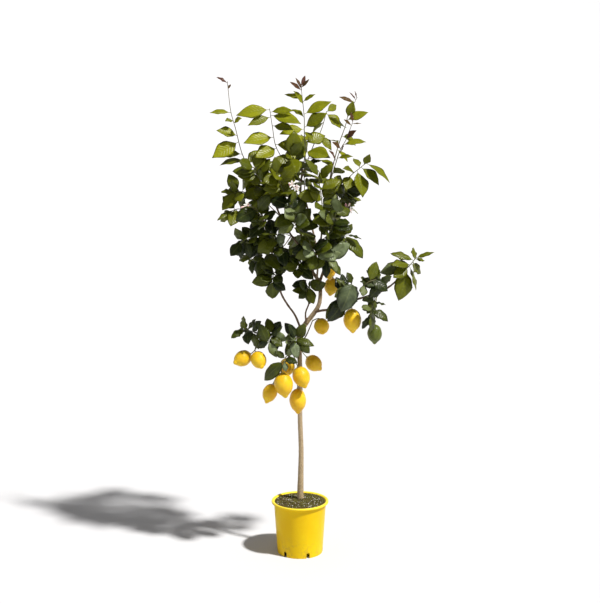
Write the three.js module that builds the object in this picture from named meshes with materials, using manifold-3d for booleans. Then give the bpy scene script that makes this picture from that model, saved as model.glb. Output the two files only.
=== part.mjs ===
// A lemon tree grown as a half standard in a yellow nursery pot: a bare trunk, a leafy crown with a
// long side branch, ripe lemons and a green one, and fresh shoots with purple tips.
// Millimetres, +Z up, the pot's underside on Z = 0 with its axis on Z, and the front towards -Y.
import * as THREE from "three";
import { mergeVertices } from "three/addons/utils/BufferGeometryUtils.js";
import Module from "manifold-3d";

const wasm = await Module();
wasm.setup();

// ---------- Driving dimensions ----------
const SEAT = 0.3; // gap between two pieces that touch
const POT = {
  height: 194,
  rimRadius: 104,
  topRadius: 94.5,
  footRadius: 83,
  wall: 2.4,
  lipDepth: 11,
  lipRoll: 2.6,
  floor: 3,
  discRadius: 57,
  channel: 21, // height of the drainage channel under the raised ring of the floor
  notches: 6,
  notchWidth: 12,
  firstNotch: -129.5, // degrees from +X
  sides: 30,
};
const SOIL = { edge: 190, crown: 194, sides: 24, ripple: 1.6 };
const TRUNK_FOOT = 106; // height of the trunk's cut end, deep in the soil
const TWIG = { root: 2.7, tip: 2.4, sides: 3 };
const STEM = { root: 2.3, tip: 1.8, purple: 1.5, sides: 3, node: 6, bare: 4, least: 1.2 };
const LEAF = { thick: 1.2, stations: [0.36, 0.7], clearance: 0.35 };
const UP = new THREE.Vector3(0, 0, 1);
const LIGHT = new THREE.Vector3(0.3, -0.75, 0.45); // side the tree was grown towards
const CROWN_AXIS = new THREE.Vector3(-20, 40, 0); // leaves turn their faces away from this upright

// ---------- Solids ----------
const vec = (p) => new THREE.Vector3(...p);

// A closed three.js geometry as a solid, with collapsed faces dropped.
function solidOf(geometry) {
  const plain = new THREE.BufferGeometry()
    .setAttribute("position", geometry.getAttribute("position"))
    .setIndex(geometry.index);
  const merged = mergeVertices(plain, 1e-4);
  const corners = [];
  const all = merged.index.array;
  for (let i = 0; i < all.length; i += 3) {
    const [a, b, c] = all.slice(i, i + 3);
    if (a !== b && b !== c && c !== a) corners.push(a, b, c);
  }
  return new wasm.Manifold(
    new wasm.Mesh({
      numProp: 3,
      vertProperties: merged.getAttribute("position").array,
      triVerts: new Uint32Array(corners),
    }),
  );
}

function geometryOf(solid) {
  const mesh = solid.getMesh();
  return new THREE.BufferGeometry()
    .setAttribute("position", new THREE.BufferAttribute(mesh.vertProperties, 3))
    .setIndex(new THREE.BufferAttribute(mesh.triVerts, 1));
}

const union = (solids) => solids.reduce((whole, s) => whole.add(s));

// Rings along a curve at the stops given: share of the curve and radius.
function ringsOn(curve, stops) {
  let side = new THREE.Vector3(0, 1, 0);
  return stops.map(([share, radius]) => {
    const along = curve.getTangent(share);
    side = side.clone().addScaledVector(along, -side.dot(along)).normalize();
    return { centre: curve.getPoint(share), side, other: along.clone().cross(side), radius };
  });
}

// A round bar through the rings at those stops.
function bar(curve, stops, sides) {
  const segments = stops.length - 1;
  const geometry = new THREE.CylinderGeometry(1, 1, 1, sides, segments);
  const at = geometry.getAttribute("position");
  const rings = ringsOn(curve, stops);
  for (let i = 0; i < at.count; i++) {
    const ring = rings[Math.round((at.getY(i) + 0.5) * segments)];
    const point = ring.centre
      .clone()
      .addScaledVector(ring.side, at.getX(i) * ring.radius)
      .addScaledVector(ring.other, -at.getZ(i) * ring.radius);
    at.setXYZ(i, point.x, point.y, point.z);
  }
  return solidOf(geometry);
}

// Evenly spaced stops between two shares, tapering from one radius to another.
const taper = (from, to, thick, thin, segments) =>
  Array.from({ length: segments + 1 }, (_, i) => [
    THREE.MathUtils.lerp(from, to, i / segments),
    THREE.MathUtils.lerp(thick, thin, i / segments),
  ]);

const lathe = (profile, sides) =>
  new THREE.LatheGeometry(
    profile.map(([r, z]) => new THREE.Vector2(r, z)),
    sides,
  ).rotateX(Math.PI / 2);

// A number from 0 to 1 that is fixed by its two keys.
function draw(key, channel) {
  const wave = Math.sin(key * 127.1 + channel * 311.7) * 43758.5453;
  return wave - Math.floor(wave);
}

// ---------- Pot and soil ----------
// Radius of the round space inside the wall at a height, clear of the wall's flats.
function roomInside(z) {
  const [low, high] = [POT.channel + POT.floor, POT.height - POT.lipDepth - 2];
  const [foot, top] = [POT.footRadius - POT.wall + 1, POT.topRadius - POT.wall];
  const radius = THREE.MathUtils.mapLinear(z, low, high, foot, top);
  return radius * Math.cos(Math.PI / POT.sides) - SEAT;
}

// The floor has a low disc that the pot stands on and a raised ring round it, which drains through
// notches in the foot of the wall.
function pot() {
  const { height, rimRadius, topRadius, footRadius, wall, lipDepth, lipRoll, floor } = POT;
  const { discRadius, channel, notches, notchWidth } = POT;
  const inner = footRadius - wall;
  const profile = [
    [0, 0],
    [discRadius + wall, 0],
    [discRadius + wall + 2, channel],
    [inner + 1, channel],
    [inner, 0],
    [footRadius, 0],
    [topRadius, height - lipDepth],
    [rimRadius, height - lipDepth + lipRoll],
    [rimRadius, height - lipRoll],
    [rimRadius - lipRoll, height],
    [topRadius - wall + 1, height - lipRoll],
    [topRadius - wall, height - lipDepth - 2],
    [inner + 1, channel + floor],
    [discRadius, channel + floor],
    [discRadius - 2, floor],
    [0, floor],
  ];
  const cuts = [];
  for (let i = 0; i < notches; i++) {
    const angle = THREE.MathUtils.degToRad(POT.firstNotch + (i * 360) / notches);
    const box = new THREE.BoxGeometry(18, notchWidth, 2 * (channel - 1.5));
    cuts.push(solidOf(box.translate(footRadius, 0, 0).rotateZ(angle)));
  }
  return solidOf(lathe(profile, POT.sides)).subtract(union(cuts));
}

// Potting mix up to just under the lip, rippled on top, with a plain hole for the trunk.
function soil(trunkLine) {
  const low = POT.channel + POT.floor + SEAT;
  const profile = [
    [0, POT.floor + SEAT],
    [POT.discRadius - 2.6, POT.floor + SEAT],
    [POT.discRadius - 0.6, low],
    [roomInside(low), low],
    [roomInside(SOIL.edge - 6), SOIL.edge - 6],
    [roomInside(SOIL.edge) - 4, SOIL.edge],
    [60, SOIL.edge + 3],
    [0, SOIL.crown],
  ];
  const geometry = lathe(profile, SOIL.sides);
  const at = geometry.getAttribute("position");
  for (let i = 0; i < at.count; i++) {
    const [x, y, z] = [at.getX(i), at.getY(i), at.getZ(i)];
    if (z > SOIL.edge - 1 && Math.hypot(x, y) > 1)
      at.setZ(i, z + SOIL.ripple * Math.sin(x * 0.23 + 1) * Math.cos(y * 0.19));
  }
  const { radii, sides } = BRANCHES.trunk;
  const clear = SEAT / Math.cos(Math.PI / sides);
  const stops = [0, 1].map((i) => [i / (radii.length - 1), radii[i] + clear]);
  return solidOf(geometry).subtract(bar(trunkLine, stops, sides).translate([0, 0, -SEAT]));
}

// ---------- Wood ----------
// Each branch is a smooth line through hand-set points, with its radius at each.
const BRANCHES = {
  trunk: {
    points: [
      [2, 14, TRUNK_FOOT], [1, 13, 195], [3, 10, 300], [4, 9, 378], [0, 6, 509], [1, 3, 639],
      [-2, 0, 768], [-1, 0, 826],
    ],
    radii: [12.5, 12.3, 10, 9, 8.6, 8.4, 8.6, 9.4],
    sides: 9,
  },
  leader: {
    points: [
      [-2, 0, 812], [25, -4, 852], [50, -6, 884], [68, -6, 917], [72, 0, 970], [66, 2, 998],
      [43, 5, 1033], [21, 5, 1090], [7, 5, 1161], [0, 0, 1267], [8, 0, 1400],
    ],
    radii: [9.2, 9, 8.4, 7.6, 7, 6.6, 6, 5.4, 4.8, 4, 3.3],
    sides: 8,
  },
  right: {
    points: [[67, 2, 985], [92, 10, 1065], [108, 15, 1161], [98, 10, 1267], [112, 5, 1400]],
    radii: [5.4, 4.8, 4.2, 3.6, 3.3],
    sides: 6,
  },
  left: {
    points: [
      [2, -2, 828], [-18, -8, 877], [-46, -14, 918], [-67, -16, 957], [-80, -15, 1021],
      [-106, -10, 1127], [-134, 0, 1232], [-160, 0, 1330],
    ],
    radii: [4.4, 3.9, 3.8, 3.7, 3.6, 3.5, 3.4, 3.3],
    sides: 6,
  },
  leftHigh: {
    points: [[18, 5, 1100], [-35, 25, 1165], [-80, 30, 1250], [-110, 20, 1340]],
    radii: [4.2, 3.8, 3.5, 3.3],
    sides: 6,
  },
  back: {
    points: [[45, 5, 1030], [58, 70, 1100], [40, 120, 1200], [15, 135, 1300]],
    radii: [4.6, 4, 3.6, 3.3],
    sides: 6,
  },
  front: {
    points: [[8, 5, 1150], [-10, -50, 1215], [-15, -80, 1290]],
    radii: [4, 3.5, 3.3],
    sides: 6,
  },
  frontRight: {
    points: [[70, 0, 960], [60, -50, 1010], [66, -92, 1090], [74, -90, 1170]],
    radii: [4, 3.7, 3.5, 3.3],
    sides: 6,
  },
  lateral: {
    points: [
      [53, -6, 888], [82, -14, 895], [115, -25, 899], [145, -35, 910], [183, -45, 932],
      [239, -50, 951], [291, -50, 970], [334, -45, 1000], [362, -40, 1034],
    ],
    radii: [4.8, 4.6, 4.4, 4.2, 4, 3.8, 3.6, 3.4, 3.3],
    sides: 6,
  },
  lowLeft: {
    points: [[-2, 0, 760], [-36, -18, 785], [-78, -28, 803], [-124, -32, 814], [-160, -34, 818]],
    radii: [4, 3.8, 3.6, 3.4, 3.3],
    sides: 6,
  },
  fruitArm: {
    points: [[-1, 2, 735], [-20, -30, 752], [-34, -62, 748], [-42, -86, 728]],
    radii: [3.8, 3.5, 3.4, 3.3],
    sides: 6,
  },
  spur: {
    points: [[0, 0, 775], [18, -2, 795], [34, 2, 828], [46, 6, 858]],
    radii: [3, 2.6, 2.3, 2],
    sides: 5,
  },
  twigUp: {
    points: [[22, -4, 848], [20, -8, 885], [31, -12, 918], [34, -20, 960]],
    radii: [3.2, 3, 3, 3.3],
    sides: 5,
  },
};
const curveOf = (points) => new THREE.CatmullRomCurve3(points);
const branchLines = Object.fromEntries(
  Object.entries(BRANCHES).map(([name, b]) => [name, curveOf(b.points.map(vec))]),
);

// A point on the axis of a bar, which is straight between its rings.
function axisPoint(line, share, [from, to], segments) {
  const place = Math.min(((share - from) / (to - from)) * segments, segments - 0.12);
  const ring = (i) => line.getPoint(from + ((to - from) * i) / segments);
  const below = Math.floor(place);
  return ring(below).lerp(ring(below + 1), place - below);
}
const onBranch = ([name, share]) =>
  axisPoint(branchLines[name], share, [0, 1], BRANCHES[name].radii.length - 1);

// ---------- Lemons ----------
// Centre, the way the nipple points, length and diameter, and where the stalk leaves the wood.
const LEMONS = {
  lemon_01: {
    at: [-205, -56, 728], nipple: [-0.75, -0.55, -0.35], size: [76, 55], from: ["lowLeft", 0.86],
  },
  lemon_02: {
    at: [-144, -84, 727], nipple: [0.35, -0.65, -0.68], size: [72, 55], from: ["lowLeft", 0.66],
  },
  lemon_03: { at: [52, 42, 691], nipple: [0.72, -0.3, -0.6], size: [72, 57], from: ["trunk", 0.9] },
  lemon_04: {
    at: [-57, -106, 643], nipple: [0.16, -0.2, -0.95], size: [92, 66], from: ["fruitArm", 0.97],
  },
  lemon_05: {
    at: [6, -75, 664], nipple: [0.34, -0.35, -0.87], size: [82, 61], from: ["fruitArm", 0.5],
  },
  lemon_06: {
    at: [-108, -62, 603], nipple: [-0.34, -0.25, -0.9], size: [74, 52], from: ["fruitArm", 0.8],
  },
  lemon_07: { at: [-8, -48, 572], nipple: [0.02, -0.08, -1], size: [93, 60], from: ["trunk", 0.84] },
  lemon_08: {
    at: [-47, -16, 688], nipple: [-0.1, 0.2, -0.97], size: [74, 56], from: ["fruitArm", 0.25],
  },
  lemon_09: { at: [77, -32, 838], nipple: [0.12, -0.75, -0.65], size: [68, 54], from: ["spur", 0.97] },
  lemon_10: { at: [183, -76, 866], nipple: [0.05, -0.1, -1], size: [88, 63], from: ["lateral", 0.46] },
  lemon_11: { at: [112, 24, 974], nipple: [-0.15, -0.3, -0.92], size: [68, 53], from: ["right", 0.3] },
  lemon_12: { at: [102, -40, 1036], nipple: [0.1, -0.2, -0.95], size: [62, 48], from: ["right", 0.4] },
  lemon_green: { at: [263, -56, 815], nipple: [0, 0, -1], size: [72, 52], from: ["lateral", 0.7] },
};
// Share of the length from the stalk end, and share of the radius there.
const LEMON_PROFILE = [
  [0, 0], [0.05, 0.44], [0.2, 0.83], [0.45, 1], [0.7, 0.82], [0.87, 0.42], [0.96, 0.18], [1, 0],
];
const LEMON_SIDES = 8;
const CALYX = 4.6; // radius

function lemon({ at, nipple, size: [length, diameter] }) {
  const profile = LEMON_PROFILE.map(([s, r]) => [(r * diameter) / 2, (0.5 - s) * length]).reverse();
  const turn = new THREE.Quaternion().setFromUnitVectors(vec([0, 0, -1]), vec(nipple).normalize());
  return solidOf(lathe(profile, LEMON_SIDES).applyQuaternion(turn).translate(...at));
}

// The stalk leaves the wood, arches over and flares into a small calyx on the fruit's shoulder.
function stalk({ at, nipple, size: [length], from }) {
  const away = vec(nipple).normalize().negate();
  const seat = vec(at).addScaledVector(away, length / 2 + SEAT);
  const root = onBranch(from);
  const bend = seat.clone().addScaledVector(away, 0.45 * seat.distanceTo(root));
  const line = new THREE.QuadraticBezierCurve3(root, bend, seat);
  const collar = 3 / line.getLength();
  return bar(line, [[0, 1.9], [0.5, 1.8], [1 - collar, 2], [1, CALYX]], 4);
}

// ---------- Leafy stems ----------
// Kinds of leaf: length, width as a share of it, how far it leans off the stem and how far it bends
// over (degrees), how far its edges fold up, how much its face looks up and how much to the light.
const KINDS = {
  young: { length: 92, slim: 0.46, lean: 56, bend: 26, fold: 0.16, skyward: 0.4, sunward: 1.5 },
  olive: { length: 78, slim: 0.6, lean: 64, bend: 42, fold: -0.1, skyward: 0.4, sunward: 0.9 },
  dark: { length: 74, slim: 0.63, lean: 68, bend: 48, fold: -0.1, skyward: 0.3, sunward: 0.8 },
  purple: { length: 50, slim: 0.33, lean: 34, bend: 10, fold: 0.18, skyward: 0.3, sunward: 1.8 },
};
// Each leafy stem: the kind of its leaves, the branch and the share along it where its brown twig
// starts, the points it runs through, the share where the twig turns into the green stem, its
// hand-set leaves (share along the stem, then where the leaf's tip is, then its width as a share of
// its length), and how many more are set by rule, and at what scale.
const SPRAYS = {
  shoot_left: {
    kind: "young", from: ["leftHigh", 1], green: 0.06,
    through: [[-170, 5, 1385], [-200, 0, 1440], [-225, -5, 1535], [-240, -5, 1590], [-252, 0, 1694]],
    set: [
      [1, -290, -12, 1708, 0.45], [0.95, -243, 12, 1690, 0.35], [0.79, -315, -15, 1585, 0.32],
      [0.69, -265, -25, 1555, 0.62], [0.66, -200, -30, 1567, 0.62], [0.54, -290, -30, 1525, 0.59],
      [0.5, -305, -45, 1430, 0.53], [0.41, -290, -15, 1440, 0.5], [0.35, -280, -30, 1405, 0.5],
      [0.29, -135, 50, 1460, 0.53], [0.2, -115, -45, 1405, 0.53], [0.12, -185, -40, 1300, 0.59],
    ],
  },
  shoot_mid_left: {
    kind: "young", from: ["leftHigh", 0.66], green: 0.2,
    through: [[-72, 0, 1320], [-55, -20, 1405], [-85, -30, 1475], [-95, -30, 1535], [-105, -30, 1600]],
    set: [
      [1, -220, -50, 1575, 0.39], [0.96, -20, -50, 1590, 0.33], [0.91, -180, -60, 1540, 0.39],
      [0.93, 5, -65, 1545, 0.5], [0.82, -30, -70, 1525, 0.59], [0.69, -195, -70, 1480, 0.5],
      [0.61, -5, -10, 1460, 0.59], [0.57, -155, -85, 1430, 0.59], [0.41, -125, -70, 1385, 0.59],
    ],
  },
  shoot_centre: {
    kind: "young", from: ["leader", 1], green: 0.12,
    through: [[18, 0, 1450], [15, 0, 1520], [15, 0, 1565], [10, 0, 1620], [6, 0, 1655]],
    set: [
      [0.86, -55, 10, 1650, 0.35], [0.82, 55, -15, 1650, 0.35], [0.78, -30, -20, 1660, 0.47],
      [0.66, 110, -10, 1625, 0.38], [0.62, -30, 30, 1600, 0.41], [0.47, 95, -30, 1585, 0.5],
      [0.41, 45, -30, 1490, 0.47], [0.36, -55, -45, 1470, 0.53], [0.29, 90, 45, 1510, 0.59],
      [0.25, -35, -60, 1425, 0.62], [0.21, 105, -60, 1430, 0.59], [0.44, -72, -20, 1512, 0.5],
    ],
  },
  shoot_centre_right: {
    kind: "young", from: ["leader", 0.97], green: 0.25,
    through: [[45, 30, 1470], [75, 42, 1530], [94, 45, 1595]],
    set: [
      [0.96, 145, 35, 1535, 0.59], [1, 130, 95, 1620, 0.41], [0.81, 45, 80, 1520, 0.53],
      [0.54, 110, 15, 1460, 0.59], [0.42, 5, 75, 1505, 0.59],
    ],
  },
  shoot_right_a: {
    kind: "young", from: ["right", 1], green: 0.1,
    through: [[135, 25, 1475], [160, 30, 1545], [170, 30, 1585], [186, 25, 1615]],
    set: [
      [0.66, 185, 10, 1630, 0.53], [0.6, 240, 20, 1590, 0.4], [0.47, 115, 80, 1565, 0.47],
      [0.36, 200, 90, 1475, 0.53], [0.28, 80, 75, 1500, 0.53], [0.21, 170, -5, 1425, 0.59],
    ],
  },
  shoot_right_b: {
    kind: "young", from: ["right", 0.8], green: 0.18,
    through: [[105, -20, 1345], [125, -30, 1415], [140, -30, 1460], [160, -30, 1495], [175, -30, 1535]],
    set: [
      [0.81, 195, -50, 1525, 0.5], [0.68, 230, -40, 1485, 0.42], [0.61, 110, -50, 1485, 0.5],
      [0.53, 155, -65, 1475, 0.47], [0.46, 185, -50, 1435, 0.35], [0.41, 90, -60, 1460, 0.38],
      [0.35, 70, 0, 1425, 0.59], [0.29, 165, -75, 1385, 0.59], [0.23, 55, -85, 1345, 0.62],
    ],
  },
  shoot_right: {
    kind: "young", from: ["right", 0.72], green: 0.3,
    through: [[120, -20, 1300], [175, -50, 1370], [205, -50, 1395], [230, -50, 1415]],
    set: [
      [1, 310, -60, 1345, 0.59], [0.9, 240, -70, 1445, 0.59], [0.8, 270, -80, 1340, 0.62],
      [0.76, 185, -20, 1430, 0.59], [0.68, 215, -90, 1295, 0.62], [0.6, 120, -80, 1395, 0.47],
      [0.5, 155, -100, 1320, 0.62], [0.4, 115, -80, 1365, 0.59],
    ],
  },
  spray_left_a: {
    kind: "olive", from: ["left", 0.93], green: 0.2,
    through: [[-185, -20, 1310], [-215, -40, 1315], [-228, -50, 1310]],
    set: [
      [1, -275, -65, 1310, 0.5], [0.85, -235, -70, 1355, 0.6], [0.7, -250, -15, 1375, 0.55],
      [0.6, -260, -90, 1255, 0.6], [0.5, -165, -55, 1385, 0.5], [0.42, -205, -10, 1245, 0.55],
    ],
    fill: 4, scale: 0.9,
  },
  spray_left_b: {
    kind: "olive", from: ["left", 0.81], green: 0.3,
    through: [[-170, -20, 1240], [-215, -35, 1255], [-240, -40, 1248]],
    set: [
      [1, -310, -65, 1270, 0.62], [0.9, -300, -50, 1205, 0.3], [0.8, -260, -85, 1290, 0.62],
      [0.73, -240, -85, 1185, 0.55], [0.6, -185, -70, 1315, 0.5], [0.5, -155, -90, 1210, 0.55],
    ],
    fill: 4, scale: 0.9,
  },
  spray_left_c: {
    kind: "dark", from: ["left", 0.73], green: 0.25, through: [[-160, -40, 1155], [-205, -75, 1140]],
    set: [], fill: 17, scale: 0.95,
  },
  spray_left_d: {
    kind: "dark", from: ["left", 0.64], green: 0.2,
    through: [[-130, -25, 1100], [-160, -35, 1085], [-172, -40, 1070]],
    set: [
      [1, -190, -55, 1045, 0.5], [0.85, -165, -75, 1030, 0.42], [0.75, -215, -35, 1095, 0.55],
      [0.62, -160, -5, 1015, 0.4], [0.55, -175, -75, 1135, 0.6], [0.42, -125, -45, 985, 0.42],
      [0.3, -100, -80, 1015, 0.55],
    ],
    fill: 5, scale: 0.85,
  },
  spray_low_left: {
    kind: "dark", from: ["left", 0.52], green: 0.25, through: [[-88, -55, 1035], [-100, -95, 1000]],
    set: [], fill: 17, scale: 0.95,
  },
  spray_low_centre: {
    kind: "dark", from: ["leader", 0.64], green: 0.25, through: [[8, -40, 1090], [-8, -90, 1050]],
    set: [], fill: 17, scale: 0.95,
  },
  spray_leader: {
    kind: "dark", from: ["twigUp", 1], green: 0.15, through: [[32, -45, 985], [20, -70, 965]],
    set: [], fill: 10, scale: 0.78,
  },
  spray_mid_left: {
    kind: "dark", from: ["leftHigh", 0.3], green: 0.35, through: [[-65, -70, 1125], [-95, -130, 1170]],
    set: [], fill: 17, scale: 1,
  },
  spray_mid_right: {
    kind: "dark", from: ["frontRight", 0.8], green: 0.25, through: [[50, -140, 1110], [25, -170, 1170]],
    set: [], fill: 16, scale: 1,
  },
  spray_front_left: {
    kind: "dark", from: ["left", 0.78], green: 0.4, through: [[-120, -90, 1195], [-150, -135, 1265]],
    set: [], fill: 17, scale: 1,
  },
  spray_front_centre: {
    kind: "dark", from: ["front", 0.5], green: 0.3, through: [[-15, -130, 1205], [-35, -175, 1275]],
    set: [], fill: 17, scale: 1,
  },
  spray_front_right: {
    kind: "dark", from: ["frontRight", 0.9], green: 0.25,
    through: [[100, -140, 1180], [122, -165, 1250]],
    set: [], fill: 17, scale: 1,
  },
  spray_front_high_left: {
    kind: "olive", from: ["leftHigh", 0.75], green: 0.35,
    through: [[-125, -45, 1330], [-160, -80, 1400]],
    set: [], fill: 16, scale: 1,
  },
  spray_front_high: {
    kind: "olive", from: ["front", 1], green: 0.2, through: [[-50, -130, 1310], [-80, -150, 1380]],
    set: [], fill: 16, scale: 1,
  },
  spray_front_high_right: {
    kind: "olive", from: ["frontRight", 1], green: 0.35, through: [[75, -120, 1270], [62, -120, 1370]],
    set: [], fill: 17, scale: 1,
  },
  spray_centre_top: {
    kind: "olive", from: ["leader", 0.86], green: 0.25, through: [[-10, -50, 1400], [-35, -95, 1440]],
    set: [], fill: 16, scale: 1.05,
  },
  spray_right_a: {
    kind: "dark", from: ["right", 0.6], green: 0.3, through: [[140, -30, 1270], [160, -70, 1325]],
    set: [], fill: 16, scale: 0.92,
  },
  spray_right_b: {
    kind: "dark", from: ["right", 0.38], green: 0.3, through: [[140, -20, 1160], [165, -45, 1165]],
    set: [
      [1, 215, -55, 1150, 0.45], [0.85, 205, -60, 1075, 0.55], [0.9, 190, -20, 1195, 0.55],
      [0.7, 155, -45, 1200, 0.6], [0.55, 105, -65, 1105, 0.6], [0.48, 145, 30, 1085, 0.6],
      [0.95, 180, -70, 1240, 0.55], [0.8, 205, -60, 1225, 0.5],
    ],
    fill: 7, scale: 0.9,
  },
  spray_right_c: {
    kind: "dark", from: ["frontRight", 0.66], green: 0.25,
    through: [[88, -120, 1090], [88, -145, 1095]],
    set: [
      [1, 20, -160, 1100, 0.42], [0.95, 125, -160, 1045, 0.45], [0.85, 110, -170, 1160, 0.6],
      [0.75, 50, -180, 1060, 0.6], [0.6, 140, -125, 1110, 0.55], [0.5, 90, -125, 1020, 0.5],
      [0.4, 130, -150, 1030, 0.55], [0.32, 150, -130, 1060, 0.6], [0.45, 178, -125, 1025, 0.5],
      [0.55, 165, -135, 1062, 0.55],
    ],
    fill: 5, scale: 0.9,
  },
  spray_back_top: {
    kind: "olive", from: ["back", 1], green: 0.15, through: [[15, 140, 1380], [20, 130, 1440]],
    set: [], fill: 10, scale: 1.08,
  },
  spray_back_left: {
    kind: "olive", from: ["leftHigh", 0.55], green: 0.35,
    through: [[-120, 90, 1270], [-150, 130, 1290]],
    set: [], fill: 10, scale: 1.08,
  },
  spray_back_right: {
    kind: "olive", from: ["right", 0.66], green: 0.4, through: [[130, 80, 1270], [150, 125, 1285]],
    set: [], fill: 10, scale: 1.08,
  },
  spray_back_low: {
    kind: "dark", from: ["back", 0.45], green: 0.3, through: [[20, 150, 1150], [-10, 180, 1130]],
    set: [], fill: 10, scale: 1.08,
  },
  spray_lateral_tip: {
    kind: "olive", from: ["lateral", 1], green: 0.15, through: [[388, -42, 1062], [408, -40, 1086]],
    set: [
      [1, 470, -50, 1105, 0.26], [0.9, 440, -20, 1072, 0.35], [0.75, 315, -50, 1100, 0.42],
      [0.6, 410, -70, 1025, 0.6], [0.45, 305, -75, 1070, 0.5], [0.4, 400, -80, 975, 0.5],
      [0.35, 352, -90, 985, 0.6], [0.3, 325, -95, 950, 0.65], [0.25, 345, -60, 935, 0.6],
    ],
    fill: 2, scale: 0.8,
  },
  spray_lateral_mid: {
    kind: "dark", from: ["lateral", 0.74], green: 0.18,
    through: [[280, -75, 992], [268, -95, 1012], [238, -108, 1008], [212, -112, 990]],
    set: [
      [1, 215, -75, 1030, 0.6], [0.9, 255, -130, 995, 0.62], [0.8, 280, -85, 1070, 0.62],
      [0.7, 315, -120, 1000, 0.65], [0.6, 235, -70, 1055, 0.55], [0.5, 204, -85, 985, 0.6],
      [0.42, 315, -75, 1050, 0.6], [0.65, 212, -110, 968, 0.6], [0.85, 204, -100, 1006, 0.55],
      [0.36, 238, -110, 951, 0.6],
    ],
    fill: 6, scale: 0.8,
  },
  spray_lateral_low: {
    kind: "dark", from: ["lateral", 0.66], green: 0.25,
    through: [[262, -75, 945], [250, -98, 920], [240, -105, 885]],
    set: [
      [1, 210, -115, 835, 0.45], [0.85, 305, -115, 870, 0.5], [0.75, 270, -85, 835, 0.5],
      [0.6, 235, -125, 895, 0.65], [0.45, 300, -105, 925, 0.6], [0.35, 215, -85, 940, 0.6],
      [0.3, 203, -95, 920, 0.6], [0.9, 275, -120, 905, 0.55],
    ],
    fill: 4, scale: 0.8,
  },
  spray_lateral_root: {
    kind: "dark", from: ["lateral", 0.39], green: 0.18,
    through: [[156, -75, 952], [168, -98, 978], [182, -112, 1014]],
    set: [
      [1, 140, -125, 905, 0.62], [0.9, 190, -135, 925, 0.6], [0.8, 115, -130, 965, 0.55],
      [0.7, 208, -118, 965, 0.6], [0.6, 125, -100, 1015, 0.5], [0.5, 175, -70, 1035, 0.55],
      [0.35, 95, -105, 868, 0.58], [0.95, 165, -140, 1035, 0.55], [0.3, 90, -70, 872, 0.5],
    ],
    fill: 6, scale: 0.85,
  },
  spray_fruit_left: {
    kind: "dark", from: ["lowLeft", 1], green: 0.15, through: [[-185, -40, 828], [-205, -45, 832]],
    set: [
      [1, -255, -50, 845, 0.4], [0.85, -240, -70, 805, 0.5], [0.65, -200, -75, 870, 0.45],
      [0.5, -155, -50, 870, 0.5], [0.4, -180, -90, 785, 0.6], [0.3, -200, -5, 795, 0.5],
      [0.25, -135, -75, 865, 0.5], [0.2, -145, -60, 762, 0.5],
    ],
    fill: 4, scale: 0.75,
  },
  spray_fruit_mid: {
    kind: "dark", from: ["lowLeft", 0.5], green: 0.2,
    through: [[-95, -60, 820], [-104, -84, 812], [-112, -100, 788]],
    set: [
      [1, -140, -95, 860, 0.55], [0.85, -125, -110, 780, 0.6], [0.75, -60, -90, 850, 0.55],
      [0.65, -85, -120, 765, 0.6], [0.5, -115, -35, 870, 0.5], [0.4, -45, -90, 800, 0.55],
      [0.35, -145, -60, 795, 0.5], [0.3, -122, -80, 755, 0.5], [0.95, -92, -115, 738, 0.5],
      [0.9, -62, -120, 770, 0.5],
    ],
    fill: 8, scale: 0.8,
  },
  spray_fruit_right: {
    kind: "dark", from: ["trunk", 0.97], green: 0.25,
    through: [[-12, -52, 802], [-14, -84, 806], [-34, -104, 790]],
    set: [
      [1, -60, -120, 795, 0.6], [0.9, -10, -125, 742, 0.55], [0.8, 50, -105, 782, 0.4],
      [0.7, -40, -110, 862, 0.5], [0.6, 34, -70, 750, 0.5], [0.5, -65, -70, 755, 0.5],
      [0.4, 18, -85, 860, 0.5], [0.35, -40, -60, 865, 0.5],
    ],
    fill: 5, scale: 0.7,
  },
  spray_fruit_low: {
    kind: "dark", from: ["fruitArm", 0.7], green: 0.3, through: [[-50, -100, 742], [-56, -122, 726]],
    set: [
      [1, -76, -130, 700, 0.62], [0.85, -125, -105, 645, 0.42], [0.7, -8, -130, 728, 0.5],
      [0.6, -88, -110, 766, 0.5], [0.45, -20, -120, 780, 0.45],
    ],
    scale: 1,
  },
};
// The purple end of a shoot carries straight on from its green stem: how far, and its leaves.
const TIPS = {
  shoot_centre_tip: {
    of: "shoot_centre", reach: 25,
    set: [
      [1, 12, 14, 1722, 0.3], [0.85, 32, 5, 1706, 0.26], [0.7, -16, 10, 1708, 0.3],
      [0.5, -36, -10, 1692, 0.36], [0.4, 2, -20, 1714, 0.36],
    ],
  },
  shoot_right_a_tip: {
    of: "shoot_right_a", reach: 30,
    set: [
      [1, 210, 15, 1672, 0.3], [0.7, 172, 42, 1662, 0.3], [0.3, 135, 10, 1642, 0.33],
    ],
  },
  shoot_right_b_tip: {
    of: "shoot_right_b", reach: 24,
    set: [
      [1, 182, -20, 1592, 0.34], [0.7, 212, -40, 1548, 0.28], [0.4, 150, -45, 1562, 0.36],
    ],
  },
};
const GOLDEN_ANGLE = 137.5;
// What is tried in turn where a leaf would cross something: a turn round its stem and a tilt away
// from it, in degrees, and a scale.
const TRIES = [
  [0, 0, 1], [14, 0, 1], [-14, 0, 1], [0, 12, 0.97], [0, -12, 0.97], [28, 6, 0.96], [-28, 6, 0.96],
  [28, -14, 0.94], [-28, -14, 0.94], [48, 0, 0.92], [-48, 0, 0.92], [70, 10, 0.9], [-70, -10, 0.9],
  [100, 0, 0.88], [-100, 0, 0.88], [135, 12, 0.86], [-150, -8, 0.84], [10, -32, 0.8], [-10, 34, 0.75],
];

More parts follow.
